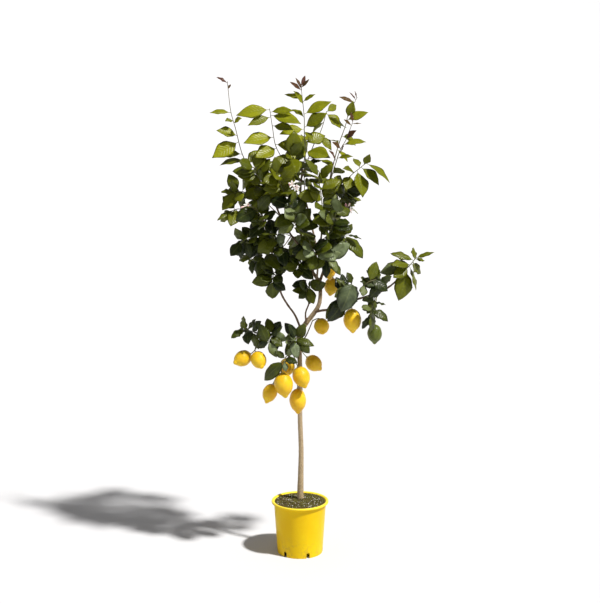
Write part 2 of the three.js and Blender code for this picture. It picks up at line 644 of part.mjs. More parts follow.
// The straight line from a leaf's root to its tip where a rule sets it: round the stem by the golden
// angle, leaning off it, and last of all nearly in line with it.
function chordByRule(kind, along, id, index, count, scale) {
  const level = new THREE.Vector3().crossVectors(along, UP).normalize();
  const upright = new THREE.Vector3().crossVectors(level, along);
  const azimuth = THREE.MathUtils.degToRad(index * GOLDEN_ANGLE + id * 29 + 30 * draw(id, 1));
  const last = index === count - 1 ? 0.25 : 1;
  const lean = THREE.MathUtils.degToRad(last * (kind.lean + 26 * (draw(id, 2) - 0.5)));
  return along
    .clone()
    .multiplyScalar(Math.cos(lean))
    .addScaledVector(level, Math.cos(azimuth) * Math.sin(lean))
    .addScaledVector(upright, Math.sin(azimuth) * Math.sin(lean))
    .addScaledVector(UP, -0.3 * draw(id, 3))
    .setLength(kind.length * scale * (0.78 + 0.4 * draw(id, 7)));
}

// How a leaf lies on one of its tries: its root, the way it sets out, its face and its measures.
function leafFrame(root, along, wanted, kind, slim, id, [turn, tilt, shrink]) {
  const chord = wanted
    .clone()
    .applyAxisAngle(along, THREE.MathUtils.degToRad(turn))
    .multiplyScalar(shrink);
  const hinge = new THREE.Vector3().crossVectors(along, chord).normalize();
  chord.applyAxisAngle(hinge, THREE.MathUtils.degToRad(tilt));
  const reach = chord.length();
  const course = chord.clone().normalize();
  const outward = root.clone().sub(CROWN_AXIS).setZ(0).normalize();
  const face = new THREE.Vector3(draw(id, 4) - 0.5, draw(id, 5) - 0.5, draw(id, 6) - 0.5)
    .addScaledVector(UP, kind.skyward)
    .addScaledVector(outward, 1 - kind.skyward)
    .addScaledVector(LIGHT, kind.sunward);
  face.addScaledVector(course, -face.dot(course)).normalize();
  const bend = THREE.MathUtils.degToRad(kind.bend * (0.5 + draw(id, 9)));
  const ahead = course
    .clone()
    .multiplyScalar(Math.cos(bend / 2))
    .addScaledVector(face, Math.sin(bend / 2));
  face.multiplyScalar(Math.cos(bend / 2)).addScaledVector(course, -Math.sin(bend / 2));
  const length = (reach * bend) / (2 * Math.sin(bend / 2));
  const across = new THREE.Vector3().crossVectors(ahead, face);
  const fold = kind.fold * (0.6 + 0.8 * draw(id, 10));
  return { root, ahead, face, across, length, width: length * slim, bend, fold };
}

// Share of the full width at a share of the length.
const blade = (s) => Math.pow(Math.sin(Math.PI * Math.pow(s, 0.9)), 0.8);

// A point of a leaf: s from root to tip, u from -1 to 1 across it, lift above its middle surface.
function leafPoint(leaf, s, u, lift) {
  const turn = leaf.bend * s;
  const radius = leaf.length / leaf.bend;
  const half = (leaf.width / 2) * blade(s);
  const rise = leaf.fold * half * Math.abs(u) + lift;
  return leaf.root
    .clone()
    .addScaledVector(leaf.ahead, (radius + rise) * Math.sin(turn))
    .addScaledVector(leaf.face, radius * (Math.cos(turn) - 1) + rise * Math.cos(turn))
    .addScaledVector(leaf.across, half * u);
}

// Points of a row across the blade, counter-clockwise seen from its tip: the two edges, and the
// midrib on the side that the leaf bulges to. A leaf's clear space has blunt edges instead.
const ROW = [[-1, 0], [0, 1], [1, 0]];
const CLEAR_ROW = [[-1, -1], [-1, 1], [0, 1], [1, 1], [1, -1]];

function leafRows(leaf, extra) {
  const side = leaf.fold > 0 ? -1 : 1;
  const middle = LEAF.thick / 2 + extra;
  return LEAF.stations.map((s) =>
    (extra ? CLEAR_ROW : ROW).map(([u, lift]) =>
      leafPoint(leaf, s, side * u * (1 + extra / 12), side * lift * (u === 0 ? middle : extra)),
    ),
  );
}

// How far points stand in front of a face.
function standing([a, b, c], others) {
  const normal = b.clone().sub(a).cross(c.clone().sub(a)).normalize();
  return others.map((point) => point.clone().sub(a).dot(normal));
}

// The sides of the convex body between two loops, both counter-clockwise seen from ahead: each edge
// goes to the point of the other loop that leaves all its other points inside.
function convexSides(near, far, points) {
  const outermost = (a, b, loop) => {
    const beyond = loop.map((c) =>
      Math.max(...standing([points[a], points[b], points[c]], loop.map((i) => points[i]))),
    );
    return loop[beyond.indexOf(Math.min(...beyond))];
  };
  const next = (loop, i) => loop[(i + 1) % loop.length];
  return [
    ...near.flatMap((a, i) => [a, next(near, i), outermost(a, next(near, i), far)]),
    ...far.flatMap((a, i) => [next(far, i), a, outermost(next(far, i), a, near)]),
  ];
}

// Adds a leaf's points and faces to a mesh, growing from a loop of four points on its stem.
function growLeaf(points, faces, loop, leaf, extra = 0) {
  const [lower, upper] = leafRows(leaf, extra).map((row) => row.map((point) => points.push(point) - 1));
  const tip = points.push(leafPoint(leaf, 1, 0, 0).addScaledVector(leaf.ahead, extra)) - 1;
  faces.push(...convexSides(loop, lower, points));
  for (let i = 0; i < lower.length; i++) {
    const next = (i + 1) % lower.length;
    faces.push(lower[i], lower[next], upper[next], lower[i], upper[next], upper[i]);
    faces.push(upper[i], upper[next], tip);
  }
}

const meshOf = (points, faces) => new THREE.BufferGeometry().setFromPoints(points).setIndex(faces);

// A leaf on its own, as a closed solid that stands a little off the stem it grows from.
function leafSolid(leaf, quad, off, extra) {
  const points = quad.map((p) => p.clone().addScaledVector(leaf.ahead, off));
  const faces = [0, 2, 1, 0, 3, 2];
  growLeaf(points, faces, [0, 1, 2, 3], leaf, extra);
  return solidOf(meshOf(points, faces));
}

// ---------- Blossom ----------
// A bunch of buds and open flowers: where its twig leaves the wood, the point it runs through, where
// its flowers spread, and how many buds and flowers there are.
const BLOSSOMS = {
  blossom_left: {
    from: ["left", 0.84], through: [[-165, -35, 1262], [-186, -75, 1266]], buds: 4, flowers: 1,
  },
  blossom_centre: {
    from: ["front", 0.96], through: [[-22, -110, 1325], [-22, -160, 1335]], buds: 4, flowers: 2,
  },
  blossom_right: {
    from: ["right", 0.66], through: [[140, -50, 1250], [165, -95, 1262]], buds: 4, flowers: 1,
  },
};
const BUD = [[0, 0], [1.2, 0.5], [1.2, 9], [3.6, 16], [0, 25]]; // radius and distance from its root
const BUD_SIDES = 4;
const BLOSSOM_START = 0.6; // share of its line where the twig turns into the flower stalk
const FLOWER = { stalk: 14, petals: 5, reach: 15, notch: 3.4, recurve: 4, thick: 2.4 };

const towards = (geometry, ahead, at) =>
  geometry
    .applyQuaternion(new THREE.Quaternion().setFromUnitVectors(UP, ahead))
    .translate(at.x, at.y, at.z);

// Five petals joined at the middle, their points turned back, as one star.
function flower(at, ahead) {
  const { stalk: high, petals, reach, notch, recurve, thick } = FLOWER;
  const points = [new THREE.Vector3(0, 0, high + thick / 2), new THREE.Vector3(0, 0, high - thick / 2)];
  for (let i = 0; i < 2 * petals; i++) {
    const angle = (i * Math.PI) / petals;
    const [radius, z] = i % 2 ? [notch, high] : [reach, high - recurve];
    points.push(new THREE.Vector3(radius * Math.cos(angle), radius * Math.sin(angle), z));
  }
  const faces = [];
  for (let i = 0; i < 2 * petals; i++) {
    const [one, next] = [2 + i, 2 + ((i + 1) % (2 * petals))];
    faces.push(0, one, next, 1, next, one);
  }
  const star = new THREE.BufferGeometry().setFromPoints(points).setIndex(faces);
  const stem = lathe([[0, 0], [1.2, 0.5], [1.6, high], [0, high + 7]], BUD_SIDES);
  return [solidOf(towards(star, ahead, at)), solidOf(towards(stem, ahead, at))];
}

function blossom(line, span, key, { buds, flowers }) {
  const solids = [bar(line, taper(...span, STEM.root, STEM.tip, 1), STEM.sides)];
  const count = buds + flowers;
  const along = line.getTangent(1);
  for (let i = 0; i < count; i++) {
    const share = span[1] - ((span[1] - span[0]) * 0.5 * i) / count;
    const at = axisPoint(line, share, span, 1);
    const ahead = chordByRule({ length: 1, lean: 50 }, along, 900 + key * 20 + i, i, count + 1, 1);
    ahead.addScaledVector(LIGHT, 0.3).normalize();
    if (i < flowers) solids.push(...flower(at, ahead));
    else solids.push(solidOf(towards(lathe(BUD, BUD_SIDES), ahead, at)));
  }
  return union(solids);
}

// ---------- Assembly ----------
const tree = new THREE.Group();

function add(name, solid, color, roughness) {
  const material = new THREE.MeshStandardMaterial({ color, roughness, metalness: 0 });
  const mesh = new THREE.Mesh(geometryOf(solid), material);
  mesh.name = name;
  tree.add(mesh);
}

// What leaves are kept clear of: each solid with its box and its owner's name.
const placed = [];
const boxOf = (solid) => {
  const { min, max } = solid.boundingBox();
  return new THREE.Box3(vec(min), vec(max));
};
const place = (solid, owner) => placed.push({ solid, owner, box: boxOf(solid) });
const isClear = (solid, owner) => {
  const box = boxOf(solid);
  return placed.every(
    (p) => p.owner === owner || !p.box.intersectsBox(box) || p.solid.intersect(solid).isEmpty(),
  );
};

// Where each leaf's node starts and ends on a stem. Leaves keep their order; one too close to the
// next one up is moved down, and a node runs on to the next where little bare stem is left between.
function nodesOf(shares, [from, to], length) {
  const node = Math.min(STEM.node / length, (to - from) / (shares.length + 0.6));
  const order = shares.map((_, i) => i).sort((a, b) => shares[a] - shares[b] || b - a);
  const starts = [];
  let ceiling = to - 0.3 * node;
  for (const i of [...order].reverse()) {
    starts[i] = Math.min(shares[i] - node / 2, ceiling - node);
    ceiling = starts[i];
  }
  const room = to - from - 0.3 * node;
  const squeeze = Math.min(1, room / (to - ceiling));
  const start = starts.map((s) => to - (to - s) * squeeze);
  const end = start.map((s) => s + node * squeeze);
  order.forEach((i, k) => {
    const next = k + 1 < order.length ? start[order[k + 1]] : to + 1;
    if (next - end[i] < STEM.bare / length) end[i] = next;
  });
  return { start, end };
}

// A green stem with its leaves as one mesh. Leaves are set one by one, and each takes the first of
// its tries that crosses nothing.
function leafyStem(owner, line, span, radii, kind, key, { set, fill = 0, scale = 1 }) {
  const count = set.length + fill;
  const shares = Array.from({ length: count }, (_, i) =>
    i < set.length ? set[i][0] : THREE.MathUtils.lerp(...span, (i - set.length + 0.7) / fill),
  );
  const { start, end } = nodesOf(shares, span, line.getLength());
  const stops = [...new Set([span[0], ...start, ...end, span[1]])].sort((a, b) => a - b);
  const rings = ringsOn(
    line,
    stops.map((share) => [share, THREE.MathUtils.mapLinear(share, ...span, ...radii)]),
  );
  const points = rings.flatMap(({ centre, side, other, radius }) =>
    [0, 1, 2].map((k) => {
      const angle = (k * 2 * Math.PI) / 3;
      return centre
        .clone()
        .addScaledVector(side, radius * Math.cos(angle))
        .addScaledVector(other, radius * Math.sin(angle));
    }),
  );
  const quadOf = (ring, k) => {
    const next = (k + 1) % 3;
    return [3 * ring + k, 3 * ring + next, 3 * ring + 3 + next, 3 * ring + 3 + k];
  };
  const plain = [0, 2, 1];
  for (let ring = 0; ring < rings.length - 1; ring++)
    for (let k = 0; k < 3; k++) {
      const [a, b, c, d] = quadOf(ring, k);
      plain.push(a, b, c, a, c, d);
    }
  const last = 3 * (rings.length - 1);
  plain.push(last, last + 1, last + 2);
  const bare = solidOf(meshOf(points, plain));

  const taken = new Map();
  for (let i = 0; i < count; i++) {
    const id = key * 41 + i;
    const index = i - set.length;
    const ring = stops.indexOf(start[i]);
    const root = rings[ring].centre.clone().lerp(rings[ring + 1].centre, 0.5);
    const along = rings[ring + 1].centre.clone().sub(rings[ring].centre).normalize();
    const wanted =
      index < 0
        ? vec(set[i].slice(1, 4)).sub(root)
        : chordByRule(kind, along, id, index, fill, scale);
    const slim = index < 0 ? set[i][4] : kind.slim * (0.9 + 0.2 * draw(id, 8));
    const sides = [0, 1, 2].map((k) => quadOf(ring, k));
    for (const attempt of TRIES) {
      const leaf = leafFrame(root, along, wanted, kind, slim, id, attempt);
      const [lower, upper] = leafRows(leaf, LEAF.clearance);
      if (Math.min(...standing(lower, upper)) < STEM.least) continue;
      const loop = sides.find((side) => {
        const quad = side.map((corner) => points[corner]);
        if (Math.min(...standing(quad, lower)) < STEM.least) return false;
        if (Math.max(...standing(lower, quad)) > -STEM.least) return false;
        return (
          leafSolid(leaf, quad, 0.05, 0).intersect(bare).isEmpty() &&
          isClear(leafSolid(leaf, quad, 0, LEAF.clearance), owner)
        );
      });
      if (!loop) continue;
      taken.set(loop.join(), leaf);
      const quad = loop.map((corner) => points[corner]);
      place(leafSolid(leaf, quad, 0, 0), owner + "/leaf");
      break;
    }
  }

  const faces = [0, 2, 1, last, last + 1, last + 2];
  for (let ring = 0; ring < rings.length - 1; ring++)
    for (let k = 0; k < 3; k++) {
      const loop = quadOf(ring, k);
      const leaf = taken.get(loop.join());
      if (leaf) growLeaf(points, faces, loop, leaf);
      else faces.push(loop[0], loop[1], loop[2], loop[0], loop[2], loop[3]);
    }
  return solidOf(meshOf(points, faces));
}

const COLOURS = { young: 0x8a9e1c, olive: 0x55691c, dark: 0x2c4420, purple: 0x5e2a22 };
const linesOf = (set) =>
  Object.fromEntries(
    Object.entries(set).map(([name, s]) => [name, curveOf([onBranch(s.from), ...s.through.map(vec)])]),
  );
const sprayLines = linesOf(SPRAYS);
const blossomLines = linesOf(BLOSSOMS);

function wood() {
  const bars = Object.entries(BRANCHES).map(([name, { radii, sides }]) =>
    bar(
      branchLines[name],
      radii.map((radius, i) => [i / (radii.length - 1), radius]),
      sides,
    ),
  );
  for (const [name, { green }] of Object.entries(SPRAYS)) {
    bars.push(bar(sprayLines[name], taper(0, green, TWIG.root, TWIG.tip, 1), TWIG.sides));
  }
  for (const line of Object.values(blossomLines))
    bars.push(bar(line, taper(0, BLOSSOM_START, TWIG.root, TWIG.tip, 1), TWIG.sides));
  for (const fruit of Object.values(LEMONS)) bars.push(stalk(fruit));
  return union(bars);
}

add("pot", pot(), 0xf2cf1d, 0.45);
add("soil", soil(branchLines.trunk), 0x5b5a2c, 0.95);
const woodSolid = wood();
add("trunk_and_branches", woodSolid, 0x8a7453, 0.85);
place(woodSolid, "wood");
for (const [name, fruit] of Object.entries(LEMONS)) {
  const solid = lemon(fruit);
  add(name, solid, name === "lemon_green" ? 0x4c7a1e : 0xf4c81a, 0.45);
  place(solid, name);
}

for (const [index, [name, bunch]] of Object.entries(BLOSSOMS).entries()) {
  const line = blossomLines[name];
  const solid = blossom(line, [BLOSSOM_START + SEAT / line.getLength(), 1], index, bunch);
  add(name, solid, 0xf3e9dc, 0.6);
  place(solid, name);
}

// Every stem is set before the first leaf, so that each leaf finds them all in its way.
const grown = [];
for (const [index, [name, spray]] of Object.entries(SPRAYS).entries()) {
  const line = sprayLines[name];
  const span = [spray.green + SEAT / line.getLength(), 1];
  grown.push({ name, line, span, radii: [STEM.root, STEM.tip], kind: spray.kind, key: index, spray });
}
for (const [index, [name, { of, reach, set }]] of Object.entries(TIPS).entries()) {
  const ahead = sprayLines[of].getTangent(1);
  const start = sprayLines[of].getPoint(1).addScaledVector(ahead, SEAT);
  const line = new THREE.LineCurve3(start, start.clone().addScaledVector(ahead, reach));
  const radii = [STEM.tip, STEM.purple];
  grown.push({ name, line, span: [0, 1], radii, kind: "purple", key: 100 + index, spray: { set } });
}
for (const { name, line, span, radii } of grown)
  place(bar(line, taper(...span, ...radii, 8), STEM.sides), name);
for (const { name, line, span, radii, kind, key, spray } of grown)
  add(name, leafyStem(name, line, span, radii, KINDS[kind], key, spray), COLOURS[kind], 0.5);

export default tree;
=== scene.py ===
import math

import bpy
import numpy as np
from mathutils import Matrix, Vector, kdtree, noise


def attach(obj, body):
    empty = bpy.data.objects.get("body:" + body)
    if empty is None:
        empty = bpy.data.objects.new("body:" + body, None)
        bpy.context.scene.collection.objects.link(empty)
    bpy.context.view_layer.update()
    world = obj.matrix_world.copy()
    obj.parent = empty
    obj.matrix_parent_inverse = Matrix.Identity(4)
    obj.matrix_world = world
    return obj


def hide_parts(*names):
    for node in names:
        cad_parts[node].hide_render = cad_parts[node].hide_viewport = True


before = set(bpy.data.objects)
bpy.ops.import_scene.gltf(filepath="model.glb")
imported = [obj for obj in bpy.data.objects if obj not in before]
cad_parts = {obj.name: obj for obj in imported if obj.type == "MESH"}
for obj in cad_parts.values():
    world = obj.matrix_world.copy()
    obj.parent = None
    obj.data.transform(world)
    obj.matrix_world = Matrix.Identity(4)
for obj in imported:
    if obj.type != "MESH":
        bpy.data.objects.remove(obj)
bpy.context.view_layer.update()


# ---------- Pot ----------
# A thin nursery pot, moulded in one piece from glossy yellow polypropylene. Its lip is rolled over to
# stiffen the wall, and six notches in the foot drain the channel under its raised floor.
MM = 0.001
POT_PROFILE = [  # radius and height, from the middle of the underside round to the middle of the floor
    (0, 0), (59.4, 0), (61.4, 21), (81.6, 21), (80.6, 0), (83, 0), (94.5, 183), (104, 185.6),
    (104, 191.4), (101.4, 194), (93.1, 191.4), (92.1, 181), (81.6, 24), (57, 24), (55, 3), (0, 3),
]
POT_EASING = [0, 1, 1.4, 1, 1, 1, 2.2, 2.4, 2.6, 2.8, 3, 2, 3, 2, 1.4, 0]  # rounding of each corner
MOST_EASED = 0.45  # of a side, at either end of it
EASE_POINTS = 5  # on each rounded corner
POT_SIDES = 180
NOTCHES = 6
FIRST_NOTCH = -129.5  # degrees from +X
NOTCH_WIDTH, NOTCH_HEIGHT = 12, 19.5
NOTCH_REACH = (74, 92)  # from the axis, inside the wall and outside it


def add_object(name, data):
    added = bpy.data.objects.new(name, data)
    bpy.context.scene.collection.objects.link(added)
    return added


def add_mesh(name, points, faces, edges=()):
    """A piece with its points in millimetres, standing where it stands on the tree."""
    mesh = bpy.data.meshes.new(name)
    mesh.from_pydata((np.asarray(points, dtype=float) * MM).tolist(), edges, faces)
    return add_object(name, mesh)


def eased(profile, easing):
    """The profile with each corner rounded over that many millimetres, or over most of half a side."""
    corners = [np.array(p, dtype=float) for p in profile]
    smooth = [corners[0]]
    for before, corner, after, reach in zip(corners, corners[1:], corners[2:], easing[1:]):
        start, end = (corner + way * min(MOST_EASED, reach / np.linalg.norm(way))
                      for way in (before - corner, after - corner))
        for step in np.linspace(0, 1, EASE_POINTS):
            smooth.append((1 - step) ** 2 * start + 2 * step * (1 - step) * corner + step**2 * end)
    return smooth + [corners[-1]]


def closed_over(rings):
    """Points and faces of a closed skin over rings of points, each counter-clockwise seen from the
    next one. A pole is a ring of one point."""
    points, faces, places = [], [], []
    sides = max(len(ring) for ring in rings)
    for ring in rings:
        places.append([len(points) + k % len(ring) for k in range(sides + 1)])
        points += list(ring)
    for near, far in zip(places, places[1:]):
        for k in range(sides):
            faces.append(tuple(dict.fromkeys((near[k], near[k + 1], far[k + 1], far[k]))))
    return points, faces


def round_about(centre, side, other, radius, sides):
    """Points round a centre; the radius is a number or a function of the angle."""
    angles = [2 * math.pi * k / sides for k in range(sides)]
    reach = radius if callable(radius) else lambda angle: radius
    return [centre + reach(a) * (side * math.cos(a) + other * math.sin(a)) for a in angles]


def turned(profile, sides, at=(0, 0, 0), ahead=(0, 0, 1), side=(1, 0, 0)):
    """A closed solid turned about an axis that points ahead, its profile of radii and heights from the
    near pole to the far one."""
    at, ahead, side = (np.array(v, dtype=float) for v in (at, ahead, side))
    other = np.cross(ahead, side)
    rings = []
    for radius, height in profile:
        centre = at + ahead * height
        rings.append([centre] if radius < 1e-6 else round_about(centre, side, other, radius, sides))
    return closed_over(rings)


def with_modifiers_applied(piece):
    """The piece as a plain mesh, with what its modifiers make of it."""
    graph = bpy.context.evaluated_depsgraph_get()
    mesh = bpy.data.meshes.new_from_object(piece.evaluated_get(graph), depsgraph=graph)
    piece.modifiers.clear()
    old, piece.data = piece.data, mesh
    bpy.data.meshes.remove(old)
    return piece


def smooth_to_edges(piece, degrees):
    piece.data.shade_smooth()
    piece.data.set_sharp_from_angle(angle=math.radians(degrees))


def notch_cutter():
    """Six round-topped blocks in one mesh, standing in the foot of the wall."""
    half, top = NOTCH_WIDTH / 2, NOTCH_HEIGHT
    flank = [(half, -2), (half, top - 2.3), (half - 0.6, top - 0.6), (half - 2.1, top)]
    arch = flank + [(-across, height) for across, height in reversed(flank)]
    points, faces = [], []
    for notch in range(NOTCHES):
        turn = math.radians(FIRST_NOTCH + 360 * notch / NOTCHES)
        out, side = np.array([math.cos(turn), math.sin(turn)]), np.array([-math.sin(turn), math.cos(turn)])
        inner = [len(points) + i for i in range(len(arch))]
        outer = [i + len(arch) for i in inner]
        for radius in NOTCH_REACH:
            points += [(*(out * radius + side * across), height) for across, height in arch]
        faces += [inner[::-1], outer]
        faces += [(inner[i - 1], inner[i], outer[i], outer[i - 1]) for i in range(len(arch))]
    return points, faces


class Value:
    """What a node gives out. A sum that it stands in becomes nodes of the same tree."""

    def __init__(self, socket):
        self.socket, self.tree = socket, socket.id_data

    def __add__(self, other):
        return maths("ADD", self, other)

    def __sub__(self, other):
        return maths("SUBTRACT", self, other)

    def __rsub__(self, other):
        return maths("SUBTRACT", other, self)

    def __mul__(self, other):
        return maths("MULTIPLY", self, other)

    def __truediv__(self, other):
        return maths("DIVIDE", self, other)

    def __pow__(self, other):
        return maths("POWER", self, other)

    __radd__, __rmul__ = __add__, __mul__


def tree_of(*values):
    return next(value.tree for value in values if isinstance(value, Value))


def set_inputs(node, **inputs):
    """Gives each input, by its name or its number as i0 and i1, a value or what another node gives."""
    for name, value in inputs.items():
        numbered = name[0] == "i" and name[1:].isdigit()
        socket = node.inputs[int(name[1:]) if numbered else name.replace("_", " ")]
        if isinstance(value, Value):
            node.id_data.links.new(value.socket, socket)
        else:
            socket.default_value = value


def add_node(tree, kind, settings=None, out=0, **inputs):
    """What a new node of that kind gives out."""
    node = tree.nodes.new(kind)
    for name, value in (settings or {}).items():
        setattr(node, name, value)
    set_inputs(node, **inputs)
    return Value(node.outputs[out])


def maths(operation, *values):
    """A sum on numbers, at least one of which comes from a node."""
    inputs = {f"i{number}": value for number, value in enumerate(values)}
    return add_node(tree_of(*values), "ShaderNodeMath", {"operation": operation}, **inputs)


def parts_of(vector):
    """The three numbers of a place, a direction or a note."""
    first = add_node(vector.tree, "ShaderNodeSeparateXYZ", Vector=vector)
    return [Value(socket) for socket in first.socket.node.outputs]


def noise_value(where, scale, detail=3.0, roughness=0.55):
    return add_node(where.tree, "ShaderNodeTexNoise", out="Fac", Vector=where, Scale=scale, Detail=detail,
                    Roughness=roughness)


def between(value, low, high, to_low=0.0, to_high=1.0):
    """The value taken from one range to another, and held inside it."""
    return add_node(value.tree, "ShaderNodeMapRange", i0=value, i1=low, i2=high, i3=to_low, i4=to_high)


def blend(share, one, other):
    """A colour between two, each a colour or what a node gives out."""
    return add_node(tree_of(share, one, other), "ShaderNodeMix", {"data_type": "RGBA"}, 2,
                    i0=share, i6=one, i7=other)


def mottled(where, scale, one, other, low=0.35, high=0.65, detail=3.0):
    """A colour that wanders between two, in patches that get smaller as the scale grows."""
    return blend(between(noise_value(where, scale, detail), low, high), one, other)


def bump(height, distance, strength=1.0):
    return add_node(height.tree, "ShaderNodeBump", Height=height, Distance=distance, Strength=strength)


def new_finish(name):
    material = bpy.data.materials.new(name)
    material.use_nodes = True
    return material


def place(material):
    """The place of each point of a piece, for the patterns on it."""
    return add_node(material.node_tree, "ShaderNodeTexCoord", out="Object")


def finished(material, **looks):
    """The material with its shader's inputs set."""
    set_inputs(material.node_tree.nodes["Principled BSDF"], **looks)
    return material


def yellow_plastic():
    """Yellow with a painted highlight: the lip is painted paler, as if lit from above. Dried splashes of mix
    lie low on the wall.
    """
    material = new_finish("glossy yellow polypropylene")
    where = place(material)
    height = parts_of(where)[2]
    clean = mottled(where, 9, (0.7, 0.445, 0.002, 1), (0.74, 0.53, 0.004, 1), 0.35, 0.7)
    # painted highlight: a band at the lip's height is painted a paler yellow, standing in for the sun on its
    # top
    clean = blend(between(height, 0.187, 0.192), clean, (0.86, 0.68, 0.05, 1))
    splashed = between(height, 0.0, 0.09, 0.5, 0.0) * between(noise_value(where, 70, 5), 0.5, 0.68)
    return finished(
        material, Base_Color=blend(splashed, clean, (0.3, 0.18, 0.05, 1)),
        Roughness=between(noise_value(where, 30), 0.3, 0.7, 0.3, 0.44),
        Normal=bump(noise_value(where, 55, 2), 0.0004, 0.35), Specular_IOR_Level=0.12,
        Subsurface_Weight=0.12, Subsurface_Radius=(0.006, 0.004, 0.001))


pot = add_mesh("nursery_pot", *turned(eased(POT_PROFILE, POT_EASING), POT_SIDES))
cutter = add_mesh("notches", *notch_cutter())
cut = pot.modifiers.new("notches", "BOOLEAN")
cut.operation, cut.solver, cut.object = "DIFFERENCE", "EXACT", cutter
with_modifiers_applied(pot)
bpy.data.objects.remove(cutter)
smooth_to_edges(pot, 32)
pot.data.materials.append(yellow_plastic())
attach(pot, "root")
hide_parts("pot")


# ---------- Soil ----------
# Potting mix of bark and peat, filled to the lip and pressed round the trunk. Moss has grown over
# most of it, and grains of white perlite lie among the crumbs.
SOIL_PROFILE = [(0, 3.3), (54.4, 3.3), (56.4, 24.3), (80.8, 24.3), (90.6, 178), (91.6, 188)]
SOIL_EDGE, SOIL_CROWN = 189.6, 194
SOIL_RADIUS = 91.7
TRUNK_FOOT_AT = (1, 13)
# What is strewn over it: pieces to the square metre, the smallest and largest radius (m), the seed.
PERLITE = (7000.0, 0.0008, 0.0024, 3)
CRUMBS = (34000.0, 0.0006, 0.0022, 11)
TUFTS = (70000.0, 0.0011, 0.0024, 23)
APART = 0.0012  # the least distance between two pieces of a kind (m)
OPEN_WITHIN, OPEN_ABOVE = 0.088, 0.1885  # where it is strewn: radius and height (m)
ANY_WAY_UP = ((0, 0, 0), (6.28, 6.28, 6.28))  # range of turns about each axis (radians)
UPRIGHT = ((-0.5, -0.5, 0), (0.5, 0.5, 6.28))


def soil_height(x, y):
    """Height of the mix at a place: domed, rippled, rough, and heaped a little at the trunk."""
    out = min(1, math.hypot(x, y) / SOIL_RADIUS)
    dome = SOIL_EDGE + (SOIL_CROWN - SOIL_EDGE) * (1 - out**1.6)
    ripple = 1.3 * math.sin(x * 0.23 + 1) * math.cos(y * 0.19)
    rough = 2.2 * noise.noise(Vector((x, y, 3)) * 0.055) + 1.1 * noise.noise(Vector((x, y, 7)) * 0.16)
    fine = 0.5 * noise.noise(Vector((x, y, 11)) * 0.5)
    heap = 2.5 * math.exp(-((math.hypot(x - TRUNK_FOOT_AT[0], y - TRUNK_FOOT_AT[1]) / 20) ** 2))
    return dome + (ripple + rough + fine) * (1 - out**6) + heap


def soil_mesh():
    rings, sides = 44, 132
    profile = SOIL_PROFILE + [(SOIL_RADIUS * (1 - i / rings) ** 0.9, SOIL_EDGE) for i in range(rings + 1)]
    points, faces = turned(profile, sides)
    top = [(x, y, soil_height(x, y)) if z == SOIL_EDGE else (x, y, z) for x, y, z in points]
    return top, faces


def mossy_mix():
    """Dark crumbs with patches of moss over most of them."""
    material = new_finish("mossy potting mix")
    where = place(material)
    mix = mottled(where, 420, (0.015, 0.01, 0.006, 1), (0.12, 0.075, 0.035, 1), 0.35, 0.7, 4)
    moss = mottled(where, 260, (0.035, 0.034, 0.007, 1), (0.16, 0.145, 0.026, 1), 0.3, 0.75, 4)
    patches = between(noise_value(where, 26, 4), 0.42, 0.56)
    return finished(material, Base_Color=blend(patches, mix, moss), Roughness=0.95,
                    Normal=bump(noise_value(where, 500, 5), 0.0015))


def mottled_finish(name, scale, one, other, roughness, grain=None):
    """A plain finish that wanders between two colours, with a fine relief where a grain is given."""
    material = new_finish(name)
    where = place(material)
    relief = {"Normal": bump(noise_value(where, grain), 0.0006)} if grain else {}
    return finished(material, Base_Color=mottled(where, scale, one, other), Roughness=roughness, **relief)


def new_recipe(name, **inputs):
    """An empty node tree for a modifier, and what it is given: a shape, and under its name each
    number, size or finish."""
    tree = bpy.data.node_groups.new(name, "GeometryNodeTree")
    kinds = {int: "NodeSocketInt", float: "NodeSocketFloat", "finish": "NodeSocketMaterial"}
    tree.interface.new_socket("Geometry", in_out="INPUT", socket_type="NodeSocketGeometry")
    tree.interface.new_socket("Geometry", in_out="OUTPUT", socket_type="NodeSocketGeometry")
    for label, kind in inputs.items():
        tree.interface.new_socket(label.replace("_", " "), in_out="INPUT", socket_type=kinds[kind])
    given = tree.nodes.new("NodeGroupInput").outputs
    return tree, {socket.name: Value(socket) for socket in given}


def ending_in(shape):
    """The shape's recipe, which hands that shape on."""
    set_inputs(shape.tree.nodes.new("NodeGroupOutput"), Geometry=shape)
    return shape.tree


def follow_recipe(piece, tree, **sizes):
    """The piece as the recipe makes it with those sizes, as a plain mesh."""
    modifier = piece.modifiers.new(tree.name, "NODES")
    modifier.node_group = tree
    for socket in tree.interface.items_tree:
        key = socket.name.replace(" ", "_")
        if socket.in_out == "INPUT" and key in sizes:
            modifier[socket.identifier] = sizes[key]
    return with_modifiers_applied(piece)


def realised(shape):
    return add_node(shape.tree, "GeometryNodeRealizeInstances", Geometry=shape)


def coated(shape, finish):
    return add_node(shape.tree, "GeometryNodeSetMaterial", Geometry=shape, Material=finish)


def united(*shapes):
    whole = shapes[0].tree.nodes.new("GeometryNodeJoinGeometry")
    for shape in shapes:
        shape.tree.links.new(shape.socket, whole.inputs[0])
    return Value(whole.outputs[0])


def random_vector(tree, least, most, seed):
    return add_node(tree, "FunctionNodeRandomValue", {"data_type": "FLOAT_VECTOR"},
                    i0=least, i1=most, Seed=seed)


def strewn(surface, shape, density, smallest, largest, seed, turns, finish):
    """Copies of a small shape over a surface, turned at random, with their own finish."""
    tree = surface.tree
    spots = add_node(tree, "GeometryNodeDistributePointsOnFaces", {"distribute_method": "POISSON"},
                     Mesh=surface, Density_Max=density, Distance_Min=APART, Seed=seed)
    copies = add_node(tree, "GeometryNodeInstanceOnPoints", Points=spots, Instance=shape,
                      Rotation=random_vector(tree, *turns, seed + 1),
                      Scale=random_vector(tree, (smallest,) * 3, (largest,) * 3, seed + 2))
    return coated(realised(copies), finish)


